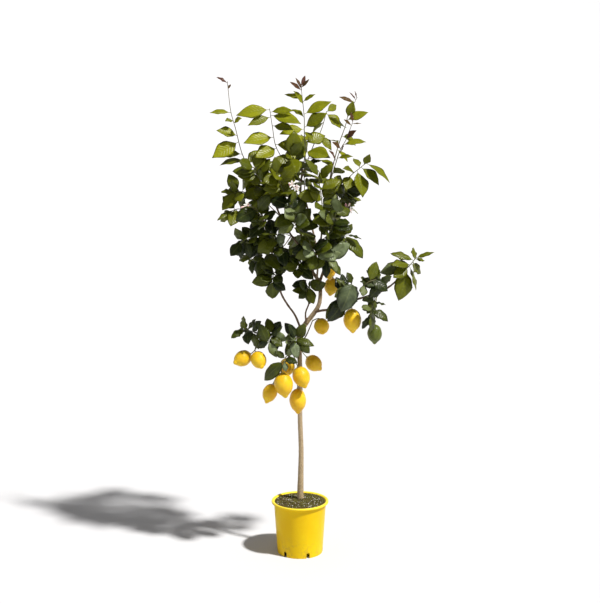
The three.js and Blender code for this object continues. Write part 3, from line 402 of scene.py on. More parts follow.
def soil_recipe():
    """Strews perlite, crumbs and tufts of moss over the open top of the mix."""
    tree, given = new_recipe(
        "soil with moss", Perlite_density=float, Crumb_density=float, Moss_density=float,
        Perlite="finish", Crumb="finish", Moss="finish")
    spot = add_node(tree, "GeometryNodeInputPosition")
    x, y, height = parts_of(spot)
    out = add_node(tree, "ShaderNodeVectorMath", {"operation": "LENGTH"}, "Value",
                   i0=add_node(tree, "ShaderNodeCombineXYZ", X=x, Y=y))
    is_open = maths("LESS_THAN", out, OPEN_WITHIN) * maths("GREATER_THAN", height, OPEN_ABOVE)
    surface = add_node(tree, "GeometryNodeSeparateGeometry", {"domain": "FACE"},
                       Geometry=given["Geometry"], Selection=is_open)
    grain = add_node(tree, "GeometryNodeMeshIcoSphere", Radius=1.0, Subdivisions=1)
    frond = add_node(tree, "GeometryNodeMeshCone", {"fill_type": "TRIANGLE_FAN"}, Vertices=5,
                     Side_Segments=1, Radius_Top=0.0, Radius_Bottom=0.28, Depth=1.6)
    ring = add_node(tree, "GeometryNodeMeshCircle", Vertices=5, Radius=0.4)
    outward = add_node(tree, "ShaderNodeVectorMath", {"operation": "ADD"}, i0=spot, i1=(0, 0, 0.55))
    lean = add_node(tree, "FunctionNodeAlignRotationToVector", {"axis": "Z"}, Vector=outward)
    tuft = realised(add_node(tree, "GeometryNodeInstanceOnPoints", Points=ring, Instance=frond,
                             Rotation=lean))
    return ending_in(united(
        given["Geometry"],
        strewn(surface, grain, given["Perlite density"], *PERLITE[1:], ANY_WAY_UP, given["Perlite"]),
        strewn(surface, grain, given["Crumb density"], *CRUMBS[1:], ANY_WAY_UP, given["Crumb"]),
        strewn(surface, tuft, given["Moss density"], *TUFTS[1:], UPRIGHT, given["Moss"])))


soil = add_mesh("mossy_soil", *soil_mesh())
soil.data.shade_smooth()
soil.data.materials.append(mossy_mix())
follow_recipe(
    soil, soil_recipe(), Perlite_density=PERLITE[0], Crumb_density=CRUMBS[0], Moss_density=TUFTS[0],
    Perlite=mottled_finish("white perlite", 300, (0.62, 0.6, 0.54, 1), (0.85, 0.84, 0.8, 1), 0.8, 900),
    Crumb=mottled_finish("bark crumbs", 350, (0.02, 0.012, 0.007, 1), (0.13, 0.075, 0.036, 1), 0.95, 900),
    Moss=mottled_finish("moss", 120, (0.045, 0.046, 0.007, 1), (0.2, 0.185, 0.03, 1), 0.9, 900))
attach(soil, "root")
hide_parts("soil")


# ---------- Trunk and branches ----------
# One grown piece of wood: a grey-beige trunk with fine upright streaks, branches that turn from brown
# to green as they thin, and short twigs that carry the leafy stems. Leaf scars knot the thin wood.

# Each branch: the points that it runs smoothly through, and its radius at even shares of its length.
BRANCHES = {
    "trunk": ([(2, 14, 106), (1, 13, 195), (3, 10, 300), (4, 9, 378), (0, 6, 509), (1, 3, 639),
        (-2, 0, 768), (-1, 0, 826)], [12.5, 12.3, 10, 9, 8.6, 8.4, 8.6, 9.4]),
    "leader": ([(-2, 0, 812), (25, -4, 852), (50, -6, 884), (68, -6, 917), (72, 0, 970), (66, 2, 998),
        (43, 5, 1033), (21, 5, 1090), (7, 5, 1161), (0, 0, 1267), (8, 0, 1400)],
        [9.2, 9, 8.4, 7.6, 7, 6.6, 6, 5.4, 4.8, 4, 3.3]),
    "right": ([(67, 2, 985), (92, 10, 1065), (108, 15, 1161), (98, 10, 1267), (112, 5, 1400)],
        [5.4, 4.8, 4.2, 3.6, 3.3]),
    "left": ([(2, -2, 828), (-18, -8, 877), (-46, -14, 918), (-67, -16, 957), (-80, -15, 1021),
        (-106, -10, 1127), (-134, 0, 1232), (-160, 0, 1330)], [4.4, 3.9, 3.8, 3.7, 3.6, 3.5, 3.4, 3.3]),
    "leftHigh": ([(18, 5, 1100), (-35, 25, 1165), (-80, 30, 1250), (-110, 20, 1340)], [4.2, 3.8, 3.5, 3.3]),
    "back": ([(45, 5, 1030), (58, 70, 1100), (40, 120, 1200), (15, 135, 1300)], [4.6, 4, 3.6, 3.3]),
    "front": ([(8, 5, 1150), (-10, -50, 1215), (-15, -80, 1290)], [4, 3.5, 3.3]),
    "frontRight": ([(70, 0, 960), (60, -50, 1010), (66, -92, 1090), (74, -90, 1170)], [4, 3.7, 3.5, 3.3]),
    "lateral": ([(53, -6, 888), (82, -14, 895), (115, -25, 899), (145, -35, 910), (183, -45, 932),
        (239, -50, 951), (291, -50, 970), (334, -45, 1000), (362, -40, 1034)],
        [4.8, 4.6, 4.4, 4.2, 4, 3.8, 3.6, 3.4, 3.3]),
    "lowLeft": ([(-2, 0, 760), (-36, -18, 785), (-78, -28, 803), (-124, -32, 814), (-160, -34, 818)],
        [4, 3.8, 3.6, 3.4, 3.3]),
    "fruitArm": ([(-1, 2, 735), (-20, -30, 752), (-34, -62, 748), (-42, -86, 728)], [3.8, 3.5, 3.4, 3.3]),
    "spur": ([(0, 0, 775), (18, -2, 795), (34, 2, 828), (46, 6, 858)], [3, 2.6, 2.3, 2]),
    "twigUp": ([(22, -4, 848), (20, -8, 885), (31, -12, 918), (34, -20, 960)], [3.2, 3, 3, 3.3]),
}

# Each twig: the branch and the share along it where it starts, the share of its own line where it
# turns into a green stem, and the points that it and the stem run through.
TWIGS = {
    "shoot_left": ("leftHigh", 1, 0.06, [(-170, 5, 1385), (-200, 0, 1440), (-225, -5, 1535),
        (-240, -5, 1590), (-252, 0, 1694)]),
    "shoot_mid_left": ("leftHigh", 0.66, 0.2, [(-72, 0, 1320), (-55, -20, 1405), (-85, -30, 1475),
        (-95, -30, 1535), (-105, -30, 1600)]),
    "shoot_centre": ("leader", 1, 0.12, [(18, 0, 1450), (15, 0, 1520), (15, 0, 1565), (10, 0, 1620),
        (6, 0, 1655)]),
    "shoot_centre_right": ("leader", 0.97, 0.25, [(45, 30, 1470), (75, 42, 1530), (94, 45, 1595)]),
    "shoot_right_a": ("right", 1, 0.1, [(135, 25, 1475), (160, 30, 1545), (170, 30, 1585),
        (186, 25, 1615)]),
    "shoot_right_b": ("right", 0.8, 0.18, [(105, -20, 1345), (125, -30, 1415), (140, -30, 1460),
        (160, -30, 1495), (175, -30, 1535)]),
    "shoot_right": ("right", 0.72, 0.3, [(120, -20, 1300), (175, -50, 1370), (205, -50, 1395),
        (230, -50, 1415)]),
    "spray_left_a": ("left", 0.93, 0.2, [(-185, -20, 1310), (-215, -40, 1315), (-228, -50, 1310)]),
    "spray_left_b": ("left", 0.81, 0.3, [(-170, -20, 1240), (-215, -35, 1255), (-240, -40, 1248)]),
    "spray_left_c": ("left", 0.73, 0.25, [(-160, -40, 1155), (-205, -75, 1140)]),
    "spray_left_d": ("left", 0.64, 0.2, [(-130, -25, 1100), (-160, -35, 1085), (-172, -40, 1070)]),
    "spray_low_left": ("left", 0.52, 0.25, [(-88, -55, 1035), (-100, -95, 1000)]),
    "spray_low_centre": ("leader", 0.64, 0.25, [(8, -40, 1090), (-8, -90, 1050)]),
    "spray_leader": ("twigUp", 1, 0.15, [(32, -45, 985), (20, -70, 965)]),
    "spray_mid_left": ("leftHigh", 0.3, 0.35, [(-65, -70, 1125), (-95, -130, 1170)]),
    "spray_mid_right": ("frontRight", 0.8, 0.25, [(50, -140, 1110), (25, -170, 1170)]),
    "spray_front_left": ("left", 0.78, 0.4, [(-120, -90, 1195), (-150, -135, 1265)]),
    "spray_front_centre": ("front", 0.5, 0.3, [(-15, -130, 1205), (-35, -175, 1275)]),
    "spray_front_right": ("frontRight", 0.9, 0.25, [(100, -140, 1180), (122, -165, 1250)]),
    "spray_front_high_left": ("leftHigh", 0.75, 0.35, [(-125, -45, 1330), (-160, -80, 1400)]),
    "spray_front_high": ("front", 1, 0.2, [(-50, -130, 1310), (-80, -150, 1380)]),
    "spray_front_high_right": ("frontRight", 1, 0.35, [(75, -120, 1270), (62, -120, 1370)]),
    "spray_centre_top": ("leader", 0.86, 0.25, [(-10, -50, 1400), (-35, -95, 1440)]),
    "spray_right_a": ("right", 0.6, 0.3, [(140, -30, 1270), (160, -70, 1325)]),
    "spray_right_b": ("right", 0.38, 0.3, [(140, -20, 1160), (165, -45, 1165)]),
    "spray_right_c": ("frontRight", 0.66, 0.25, [(88, -120, 1090), (88, -145, 1095)]),
    "spray_back_top": ("back", 1, 0.15, [(15, 140, 1380), (20, 130, 1440)]),
    "spray_back_left": ("leftHigh", 0.55, 0.35, [(-120, 90, 1270), (-150, 130, 1290)]),
    "spray_back_right": ("right", 0.66, 0.4, [(130, 80, 1270), (150, 125, 1285)]),
    "spray_back_low": ("back", 0.45, 0.3, [(20, 150, 1150), (-10, 180, 1130)]),
    "spray_lateral_tip": ("lateral", 1, 0.15, [(388, -42, 1062), (408, -40, 1086)]),
    "spray_lateral_mid": ("lateral", 0.74, 0.18, [(280, -75, 992), (268, -95, 1012), (238, -108, 1008),
        (212, -112, 990)]),
    "spray_lateral_low": ("lateral", 0.66, 0.25, [(262, -75, 945), (250, -98, 920), (240, -105, 885)]),
    "spray_lateral_root": ("lateral", 0.39, 0.18, [(156, -75, 952), (168, -98, 978), (182, -112, 1014)]),
    "spray_fruit_left": ("lowLeft", 1, 0.15, [(-185, -40, 828), (-205, -45, 832)]),
    "spray_fruit_mid": ("lowLeft", 0.5, 0.2, [(-95, -60, 820), (-104, -84, 812), (-112, -100, 788)]),
    "spray_fruit_right": ("trunk", 0.97, 0.25, [(-12, -52, 802), (-14, -84, 806), (-34, -104, 790)]),
    "spray_fruit_low": ("fruitArm", 0.7, 0.3, [(-50, -100, 742), (-56, -122, 726)]),
}
BLOSSOM_TWIGS = {  # the same, with the share where the twig turns into the flower stalk
    "blossom_left": ("left", 0.84, 0.6, [(-165, -35, 1262), (-186, -75, 1266)]),
    "blossom_centre": ("front", 0.96, 0.6, [(-22, -110, 1325), (-22, -160, 1335)]),
    "blossom_right": ("right", 0.66, 0.6, [(140, -50, 1250), (165, -95, 1262)]),
}
GAP = 0.3  # between the wood and what is set on its end
CAP = 0.6  # how far the end of a tube stands out, as a share of its radius
BARK_GRAIN = 1.45  # mesh width of the wood's surface
BRANCH_STEP, TWIG_STEP = 6, 4  # between the rings of points along it
BARE_BEFORE, BARE_AFTER = 14, 8  # wood without leaf scars, at the root and at the end of a branch
SCAR_STEP, SCAR_DRIFT = 19, 9  # between two scars, and how far that wanders
SCAR_TURN = 2.4  # round the wood from one to the next (radians)
SCARS_UP_TO = 7  # radius of the thickest wood that still shows its scars
TWIG_RADIUS, TWIG_TAPER = 2.0, 0.45  # at the green stem, and how much more at the branch
COLLAR, COLLAR_REACH = 1.0, 5  # how much a twig swells at the branch, and how soon that is over
STREAKS_ALONG = 0.14  # how far the streaks of the bark are drawn out along the wood


class Line:
    """A smooth centripetal curve through points, with places on it given as a share from 0 to 1."""

    def __init__(self, points):
        self.points = [np.array(p, dtype=float) for p in points]
        steps = [self.at(i / 200) for i in range(201)]
        self.length = sum(float(np.linalg.norm(b - a)) for a, b in zip(steps, steps[1:]))

    def at(self, share):
        knots, last = self.points, len(self.points) - 1
        index = min(int(math.floor(last * share)), last - 1)
        weight = last * share - index
        one, two = knots[index], knots[index + 1]
        before = knots[index - 1] if index > 0 else 2 * knots[0] - knots[1]
        after = knots[index + 2] if index + 2 <= last else 2 * knots[-1] - knots[-2]
        gap = [float(np.dot(b - a, b - a)) ** 0.25 for a, b in ((before, one), (one, two), (two, after))]
        start = ((one - before) / gap[0] - (two - before) / (gap[0] + gap[1]) + (two - one) / gap[1]) * gap[1]
        end = ((two - one) / gap[1] - (after - one) / (gap[1] + gap[2]) + (after - two) / gap[2]) * gap[1]
        cubic = 2 * one - 2 * two + start + end
        square = -3 * one + 3 * two - 2 * start - end
        return one + start * weight + square * weight**2 + cubic * weight**3

    def ahead(self, share):
        return unit(self.at(min(1, share + 1e-4)) - self.at(max(0, share - 1e-4)))


def unit(v):
    return v / np.linalg.norm(v)


def square_to(way, hint):
    """Two directions square to that one and to each other."""
    side = unit(np.cross(way, hint))
    return side, np.cross(way, side)


def on_chords(line, share, start, end, segments):
    """A point on the line as it is set out in straight pieces between two shares."""
    spot = min((share - start) / (end - start) * segments, segments - 0.12)
    below = math.floor(spot)
    ring = [line.at(start + (end - start) * (below + k) / segments) for k in (0, 1)]
    return ring[0] + (ring[1] - ring[0]) * (spot - below)


def on_branch(name, share):
    return on_chords(BRANCH_LINES[name], share, 0, 1, len(BRANCHES[name][1]) - 1)


def frames_along(centres):
    """For each centre of a course: the way ahead, and two directions square to it that never spin."""
    side = np.array([0.0, 1.0, 0.0])
    for i, centre in enumerate(centres):
        along = unit(centres[min(i + 1, len(centres) - 1)] - centres[max(i - 1, 0)])
        side = unit(side - along * np.dot(side, along))
        yield centre, along, side, np.cross(along, side)


def tube(centres, radii, sides):
    """Points and faces of a closed tube with eased ends through those centres."""
    centres = [np.array(c, dtype=float) for c in centres]
    first, last = unit(centres[1] - centres[0]), unit(centres[-1] - centres[-2])
    rings = [round_about(centre, side, other, radius, sides)
             for (centre, _, side, other), radius in zip(frames_along(centres), radii)]
    near, far = centres[0] - first * radii[0] * CAP, centres[-1] + last * radii[-1] * CAP
    return closed_over([[near], *rings, [far]])


def joined(parts):
    """Several sets of points and faces as one."""
    points, faces = [], []
    for some_points, some_faces in parts:
        faces += [tuple(i + len(points) for i in face) for face in some_faces]
        points += list(some_points)
    return points, faces


def branch_course(name):
    """The middle line and the radii of a branch."""
    line, radii = BRANCH_LINES[name], BRANCHES[name][1]
    shares = np.linspace(0, 1, max(12, int(line.length / BRANCH_STEP)) + 1)
    return [line.at(s) for s in shares], list(np.interp(shares, np.linspace(0, 1, len(radii)), radii))


def twig_course(line, green):
    """The same of a twig, which swells into the branch it leaves and narrows to the green stem."""
    shares = np.linspace(0, green, max(5, int(line.length * green / TWIG_STEP) + 1))
    far = shares * line.length
    radii = TWIG_RADIUS + TWIG_TAPER * (1 - shares / green) + COLLAR * np.exp(-far / COLLAR_REACH)
    return [line.at(s) for s in shares], list(radii)


def leaf_scars(course, radii, key):
    """Small swellings round thin wood, where leaves once grew."""
    far = np.concatenate([[0], np.cumsum([np.linalg.norm(b - a) for a, b in zip(course, course[1:])])])
    parts, spot, count = [], float(BARE_BEFORE), 0
    while spot < far[-1] - BARE_AFTER:
        centre = np.array([np.interp(spot, far, [c[i] for c in course]) for i in range(3)])
        radius = float(np.interp(spot, far, radii))
        index = min(int(np.searchsorted(far, spot)), len(course) - 1)
        along = unit(course[index] - course[index - 1])
        side, other = square_to(along, (0.3, 0.9, 0.2))
        turn = count * SCAR_TURN + key
        out = side * math.cos(turn) + other * math.sin(turn)
        if radius < SCARS_UP_TO:
            middle = centre + out * radius * 0.62
            parts.append(tube([middle - along * 2.2, middle, middle + along * 2.4],
                              [0.8, radius * 0.62, 1.0], 10))
        spot += SCAR_STEP + SCAR_DRIFT * math.sin(count * 1.7 + key)
        count += 1
    return parts


ALL_TWIGS = {**TWIGS, **BLOSSOM_TWIGS}
BRANCH_LINES = {name: Line(points) for name, (points, _) in BRANCHES.items()}
TWIG_LINES = {name: Line([on_branch(branch, share), *points])
              for name, (branch, share, _, points) in ALL_TWIGS.items()}


def store(mesh, name, values, kind="FLOAT"):
    """Keeps a number, or a direction, with each point of a mesh."""
    layer = mesh.attributes.new(name, kind, "POINT")
    key = "vector" if kind == "FLOAT_VECTOR" else "value"
    layer.data.foreach_set(key, np.asarray(values, dtype=float).ravel())


def nearest_of(spots):
    """A search for the nearest of those places."""
    search = kdtree.KDTree(len(spots))
    for i, spot in enumerate(spots):
        search.insert(spot, i)
    search.balance()
    return search


def note_grain(piece, courses):
    """Stores with each point of the wood how thick the branch is there, and its place round it and
    along it, so that the streaks of the bark run with each branch."""
    notes, run = [], 0.0
    for centres, radii in courses:
        for frame_there, radius, after in zip(frames_along(centres), radii, centres[1:] + centres[-1:]):
            notes.append((*frame_there, radius, run))
            run += float(np.linalg.norm(after - frame_there[0]))
    nearest = nearest_of([note[0] for note in notes])
    girth, grain = [], []
    for vertex in piece.data.vertices:
        spot = np.array(vertex.co) / MM
        centre, along, side, other, radius, run = notes[nearest.find(spot)[1]]
        off = spot - centre
        girth.append(radius)
        grain.append((np.dot(off, side), np.dot(off, other), (run + np.dot(off, along)) * STREAKS_ALONG))
    store(piece.data, "girth", girth)
    store(piece.data, "grain", grain, "FLOAT_VECTOR")


def kept_with(material, name, output="Vector"):
    """What is kept under that name with each point or face of the piece, for its finish."""
    return add_node(material.node_tree, "ShaderNodeAttribute", {"attribute_name": name}, output)


def citrus_bark():
    """Streaked grey-beige on thick wood, brown on thinner wood and brown-green on twigs."""
    material = new_finish("streaked citrus bark")
    grain, girth = kept_with(material, "grain"), kept_with(material, "girth", "Fac")
    streaks = noise_value(grain, 1.1, 5, 0.65)
    fine = noise_value(grain, 3.4, 4, 0.7)
    trunk = blend(between(streaks, 0.36, 0.64), (0.16, 0.11, 0.062, 1), (0.52, 0.4, 0.235, 1))
    trunk = blend(between(fine, 0.5, 0.75, 0, 0.55), trunk, (0.5, 0.42, 0.29, 1))
    young = blend(between(streaks, 0.38, 0.62), (0.1, 0.06, 0.038, 1), (0.24, 0.165, 0.1, 1))
    green = mottled(place(material), 30, (0.13, 0.075, 0.05, 1), (0.11, 0.1, 0.04, 1), 0.4, 0.6)
    wood = blend(between(girth, 2.6, 4.2), green, young)
    wood = blend(between(girth, 5.5, 8.6), wood, trunk)
    return finished(material, Base_Color=wood, Roughness=0.82, Normal=bump(streaks, 0.0009))


def noted(tree, name):
    """The three numbers or the direction kept under that name with each point, for a recipe."""
    return add_node(tree, "GeometryNodeInputNamedAttribute", {"data_type": "FLOAT_VECTOR"}, Name=name)


def scaled(vector, amount):
    return add_node(vector.tree, "ShaderNodeVectorMath", {"operation": "SCALE"}, i0=vector, Scale=amount)


def bark_recipe():
    """Pushes the surface in and out along its normal with a noise that is drawn out along the wood."""
    tree, given = new_recipe("bark relief", Relief=float, Streak_width=float, Knobble=float)
    streaks = noise_value(noted(tree, "grain"), given["Streak width"], 2.0, 0.5)
    lumps = noise_value(add_node(tree, "GeometryNodeInputPosition"), 55.0, 1.0, 0.5)
    push = (streaks - 0.5) * given["Relief"] + (lumps - 0.5) * given["Knobble"]
    return ending_in(add_node(tree, "GeometryNodeSetPosition", Geometry=given["Geometry"],
                              Offset=scaled(add_node(tree, "GeometryNodeInputNormal"), push)))


courses = [branch_course(name) for name in BRANCHES]
courses += [twig_course(TWIG_LINES[name], green) for name, (_, _, green, _) in ALL_TWIGS.items()]
solids = [tube(centres, radii, 24 if max(radii) > 6 else 14) for centres, radii in courses]
for key, (centres, radii) in enumerate(courses[: len(BRANCHES)]):
    solids += leaf_scars(centres, radii, key)
wood = add_mesh("trunk_branches_and_twigs", *joined(solids))
skin = wood.modifiers.new("one skin", "REMESH")
skin.mode, skin.voxel_size, skin.use_smooth_shade = "VOXEL", BARK_GRAIN * MM, True
ease = wood.modifiers.new("eased", "SMOOTH")
ease.factor, ease.iterations = 0.5, 3
with_modifiers_applied(wood)
note_grain(wood, courses)
follow_recipe(wood, bark_recipe(), Relief=0.0012, Streak_width=0.55, Knobble=0.0011)
wood.data.shade_smooth()
wood.data.materials.clear()
wood.data.materials.append(citrus_bark())
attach(wood, "root")
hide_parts("trunk_and_branches")


# ---------- Lemons ----------
# Twelve ripe lemons and a green one. Each hangs from a short green-brown stalk that arches out of the
# wood and spreads into a small five-lobed calyx, which holds the fruit by its shoulder.

# Centre, the way its nipple points, length, diameter, and where its stalk leaves the wood.
LEMONS = {
    "lemon_01": ((-205, -56, 728), (-0.75, -0.55, -0.35), 76, 55, "lowLeft", 0.86),
    "lemon_02": ((-144, -84, 727), (0.35, -0.65, -0.68), 72, 55, "lowLeft", 0.66),
    "lemon_03": ((52, 42, 691), (0.72, -0.3, -0.6), 72, 57, "trunk", 0.9),
    "lemon_04": ((-57, -106, 643), (0.16, -0.2, -0.95), 92, 66, "fruitArm", 0.97),
    "lemon_05": ((6, -75, 664), (0.34, -0.35, -0.87), 82, 61, "fruitArm", 0.5),
    "lemon_06": ((-108, -62, 603), (-0.34, -0.25, -0.9), 74, 52, "fruitArm", 0.8),
    "lemon_07": ((-8, -48, 572), (0.02, -0.08, -1), 93, 60, "trunk", 0.84),
    "lemon_08": ((-47, -16, 688), (-0.1, 0.2, -0.97), 74, 56, "fruitArm", 0.25),
    "lemon_09": ((77, -32, 838), (0.12, -0.75, -0.65), 68, 54, "spur", 0.97),
    "lemon_10": ((183, -76, 866), (0.05, -0.1, -1), 88, 63, "lateral", 0.46),
    "lemon_11": ((112, 24, 974), (-0.15, -0.3, -0.92), 68, 53, "right", 0.3),
    "lemon_12": ((102, -40, 1036), (0.1, -0.2, -0.95), 62, 48, "right", 0.4),
    "lemon_green": ((263, -56, 815), (0, 0, -1), 72, 52, "lateral", 0.7),
}
# Share of the length from the stalk end, and share of the radius there.
LEMON_PROFILE = [
    (0, 0), (0.05, 0.44), (0.2, 0.83), (0.45, 1), (0.7, 0.82), (0.87, 0.42), (0.96, 0.18), (1, 0),
]
LEMON_ROWS, LEMON_SIDES = 44, 48
SKIN_WAVES = 0.035  # how far the skin waves in and out, as a share of the radius
FOLDS, FOLD_DEPTH, FOLD_REACH = 5, 0.035, 0.12  # round the stalk
FURROW_AT, FURROW_DEPTH, FURROW_WIDTH = 0.885, 0.05, 0.02  # round the nipple
STALK_STEPS, STALK_RADII = 15, (2.0, 1.5)  # its radius at the wood and at the fruit
CALYX_RADIUS = 4.4
CALYX_PROFILE = [(0.35, 2.8), (0.7, 1.6), (1, 0.9), (0.97, 0.1), (0.5, 0.0)]  # share of it, and height


def lemon_outline():
    """Radius at each row, smooth through the profile, with a blunt nipple and a flat stalk end."""
    line = Line([(s, r, 0) for s, r in LEMON_PROFILE])
    return [tuple(line.at(share)[:2]) for share in np.linspace(0, 1, LEMON_ROWS + 1)]


def lemon_mesh(at, nipple, length, diameter, key):
    """A fruit with a furrow round its nipple, short folds round its stalk and an uneven skin."""
    down = unit(np.array(nipple, dtype=float))
    side, other = square_to(down, (0.31, 0.9, 0.17))
    rings = []
    for share, radius in lemon_outline():
        centre = np.array(at, dtype=float) + down * (share - 0.5) * length
        fold = FOLD_DEPTH * math.exp(-((share / FOLD_REACH) ** 2))
        furrow = FURROW_DEPTH * math.exp(-(((share - FURROW_AT) / FURROW_WIDTH) ** 2))

        def reach(angle):
            out = side * math.cos(angle) + other * math.sin(angle)
            spot = Vector((out * radius * 1.3 + down * share * 2 + key * 3.1).tolist())
            sunk = fold * (0.5 + 0.5 * math.cos(FOLDS * angle + key))
            sunk += furrow * (0.6 + 0.4 * math.sin(angle + key))
            wide = radius * (1 + SKIN_WAVES * noise.noise(spot)) - sunk * min(1, radius * 3)
            return wide * diameter / 2

        rings.append([centre] if radius < 1e-3 else round_about(centre, side, other, reach, LEMON_SIDES))
    return closed_over(rings)


def lemon_peel(name, shaded, lit, freckle):
    """Waxy peel with close-set pores, each a small dimple a little paler than the peel round it."""
    material = new_finish(name)
    where = place(material)
    pores = add_node(material.node_tree, "ShaderNodeTexVoronoi", out="Distance", Vector=where, Scale=430.0)
    peel = blend(between(pores, 0.05, 0.35, 0.25, 0), mottled(where, 22, shaded, lit), freckle)
    return finished(
        material, Base_Color=peel, Roughness=0.36, Specular_IOR_Level=0.35, Subsurface_Weight=0.1,
        Subsurface_Radius=(0.008, 0.005, 0.0015), Normal=bump(between(pores, 0, 0.5), 0.0011, 0.9))


def stalk_course(at, nipple, length, branch, share):
    """The stalk arches from the wood over to the shoulder of the fruit."""
    away = -unit(np.array(nipple, dtype=float))
    seat = np.array(at) + away * (length / 2 + GAP)
    root = on_branch(branch, share)
    top = seat + away * 0.45 * np.linalg.norm(seat - root)
    steps = np.linspace(0, 1, STALK_STEPS)
    course = [(1 - s) ** 2 * root + 2 * s * (1 - s) * top + s * s * seat for s in steps]
    return course, away, seat


def calyx(seat, away, key):
    """A thin green disc with five blunt lobes that lie back on the fruit."""
    side, other = square_to(away, (0.2, 0.9, 0.3))
    rings = [[seat + away * 3.4]]
    for share, height in CALYX_PROFILE:

        def reach(angle):
            return CALYX_RADIUS * share * (1 - 0.24 * share * (0.5 + 0.5 * math.cos(5 * angle + key)))

        rings.append(round_about(seat + away * height, side, -other, reach, 30))
    return closed_over(rings + [[seat + away * 0.05]])


ripe = lemon_peel("ripe lemon peel", (0.7, 0.39, 0.003, 1), (0.76, 0.5, 0.007, 1), (0.82, 0.63, 0.035, 1))
unripe = lemon_peel("green lemon peel",
                    (0.07, 0.095, 0.003, 1), (0.12, 0.15, 0.005, 1), (0.2, 0.22, 0.015, 1))
stalks = []
for key, (name, (at, nipple, length, diameter, branch, share)) in enumerate(LEMONS.items()):
    fruit = add_mesh(name + "_fruit", *lemon_mesh(at, nipple, length, diameter, key))
    fruit.data.shade_smooth()
    fruit.data.materials.append(unripe if name == "lemon_green" else ripe)
    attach(fruit, "root")
    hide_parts(name)
    course, away, seat = stalk_course(at, nipple, length, branch, share)
    stalks.append(tube(course, list(np.linspace(*STALK_RADII, STALK_STEPS)), 12))
    stalks.append(calyx(seat, away, key))
fruit_stalks = add_mesh("fruit_stalks_and_calyxes", *joined(stalks))
smooth_to_edges(fruit_stalks, 60)
fruit_stalks.data.materials.append(mottled_finish(
    "green-brown fruit stalk", 120, (0.09, 0.1, 0.025, 1), (0.2, 0.19, 0.06, 1), 0.6, 500))
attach(fruit_stalks, "root")


# ---------- Leafy stems ----------
# Lemon leaves are thin, glossy and leathery, on short petioles set round a green stem by the golden angle.
# Those on the new shoots are lime green and fold up a little; older ones are olive to nearly black, and arch
# back with their edges down. The nearly black end is painted shade, standing in for the shade inside the
# crown. The last leaves of three shoots are purple.

# Kinds of leaf: length, width as a share of it, how far it leans off the stem and how far it bends
# over (degrees), how far its edges fold up, and how much its face looks up and to the light.
KINDS = {
    "young": (92, 0.46, 56, 26, 0.16, 0.4, 1.5),
    "olive": (78, 0.6, 64, 42, -0.1, 0.4, 0.9),
    "dark": (74, 0.63, 68, 48, -0.1, 0.3, 0.8),
    "purple": (50, 0.33, 34, 10, 0.18, 0.3, 1.8),
}
# Where the green of each kind lies, from 0, lime, to 1, nearly black. The nearly black end is painted shade
# of the crown's inside.
TONES = {"young": (0.0, 0.24), "olive": (0.3, 0.62), "dark": (0.52, 1.0), "purple": (0.2, 0.3)}
# What is tried in turn where leaves would touch: a turn round the stem and a tilt off it, in
# degrees, and a scale.
TRIES = [
    (0, 0, 1), (14, 0, 1), (-14, 0, 1), (0, 12, 0.97), (0, -12, 0.97), (28, 6, 0.96), (-28, 6, 0.96),
    (28, -14, 0.94), (-28, -14, 0.94), (48, 0, 0.92), (-48, 0, 0.92), (70, 10, 0.9), (-70, -10, 0.9),
    (100, 0, 0.88), (-100, 0, 0.88), (135, 12, 0.86), (-150, -8, 0.84), (10, -32, 0.8), (-10, 34, 0.75),
]
# How pointed a blade is, how far its margin waves (m) and how much it twists.
SHAPES = {
    "young": (1.2, 0.0014, 0.35), "olive": (0.92, 0.0026, 0.55),
    "dark": (0.8, 0.0028, 0.6), "purple": (1.0, 0.0008, 0.2),
}
NODE, BARE = 6, 4  # length of a leaf's node on its stem, and the shortest piece of bare stem
STEM_RADII, TIP_RADII, FLOWER_STEM_RADII = (1.75, 1.1), (1.1, 0.8), (1.75, 1.3)
STEM_STEP = 8  # between the points of a stem's middle line
GOLDEN_ANGLE = 137.5  # from one leaf to the next round the stem (degrees)
KEYS_APART = 41  # from the key of one stem's first leaf to the next stem's
TIP_NUMBERS = 100  # the purple ends are numbered from here
FOUND = 5e-5  # how near a leaf's tip comes to the solid's point (m)
UP = np.array([0.0, 0, 1])
LIGHT = np.array([0.3, -0.75, 0.45])  # the side the tree was grown towards
CROWN_AXIS = np.array([-20.0, 40, 0])  # leaves face away from the upright line through this
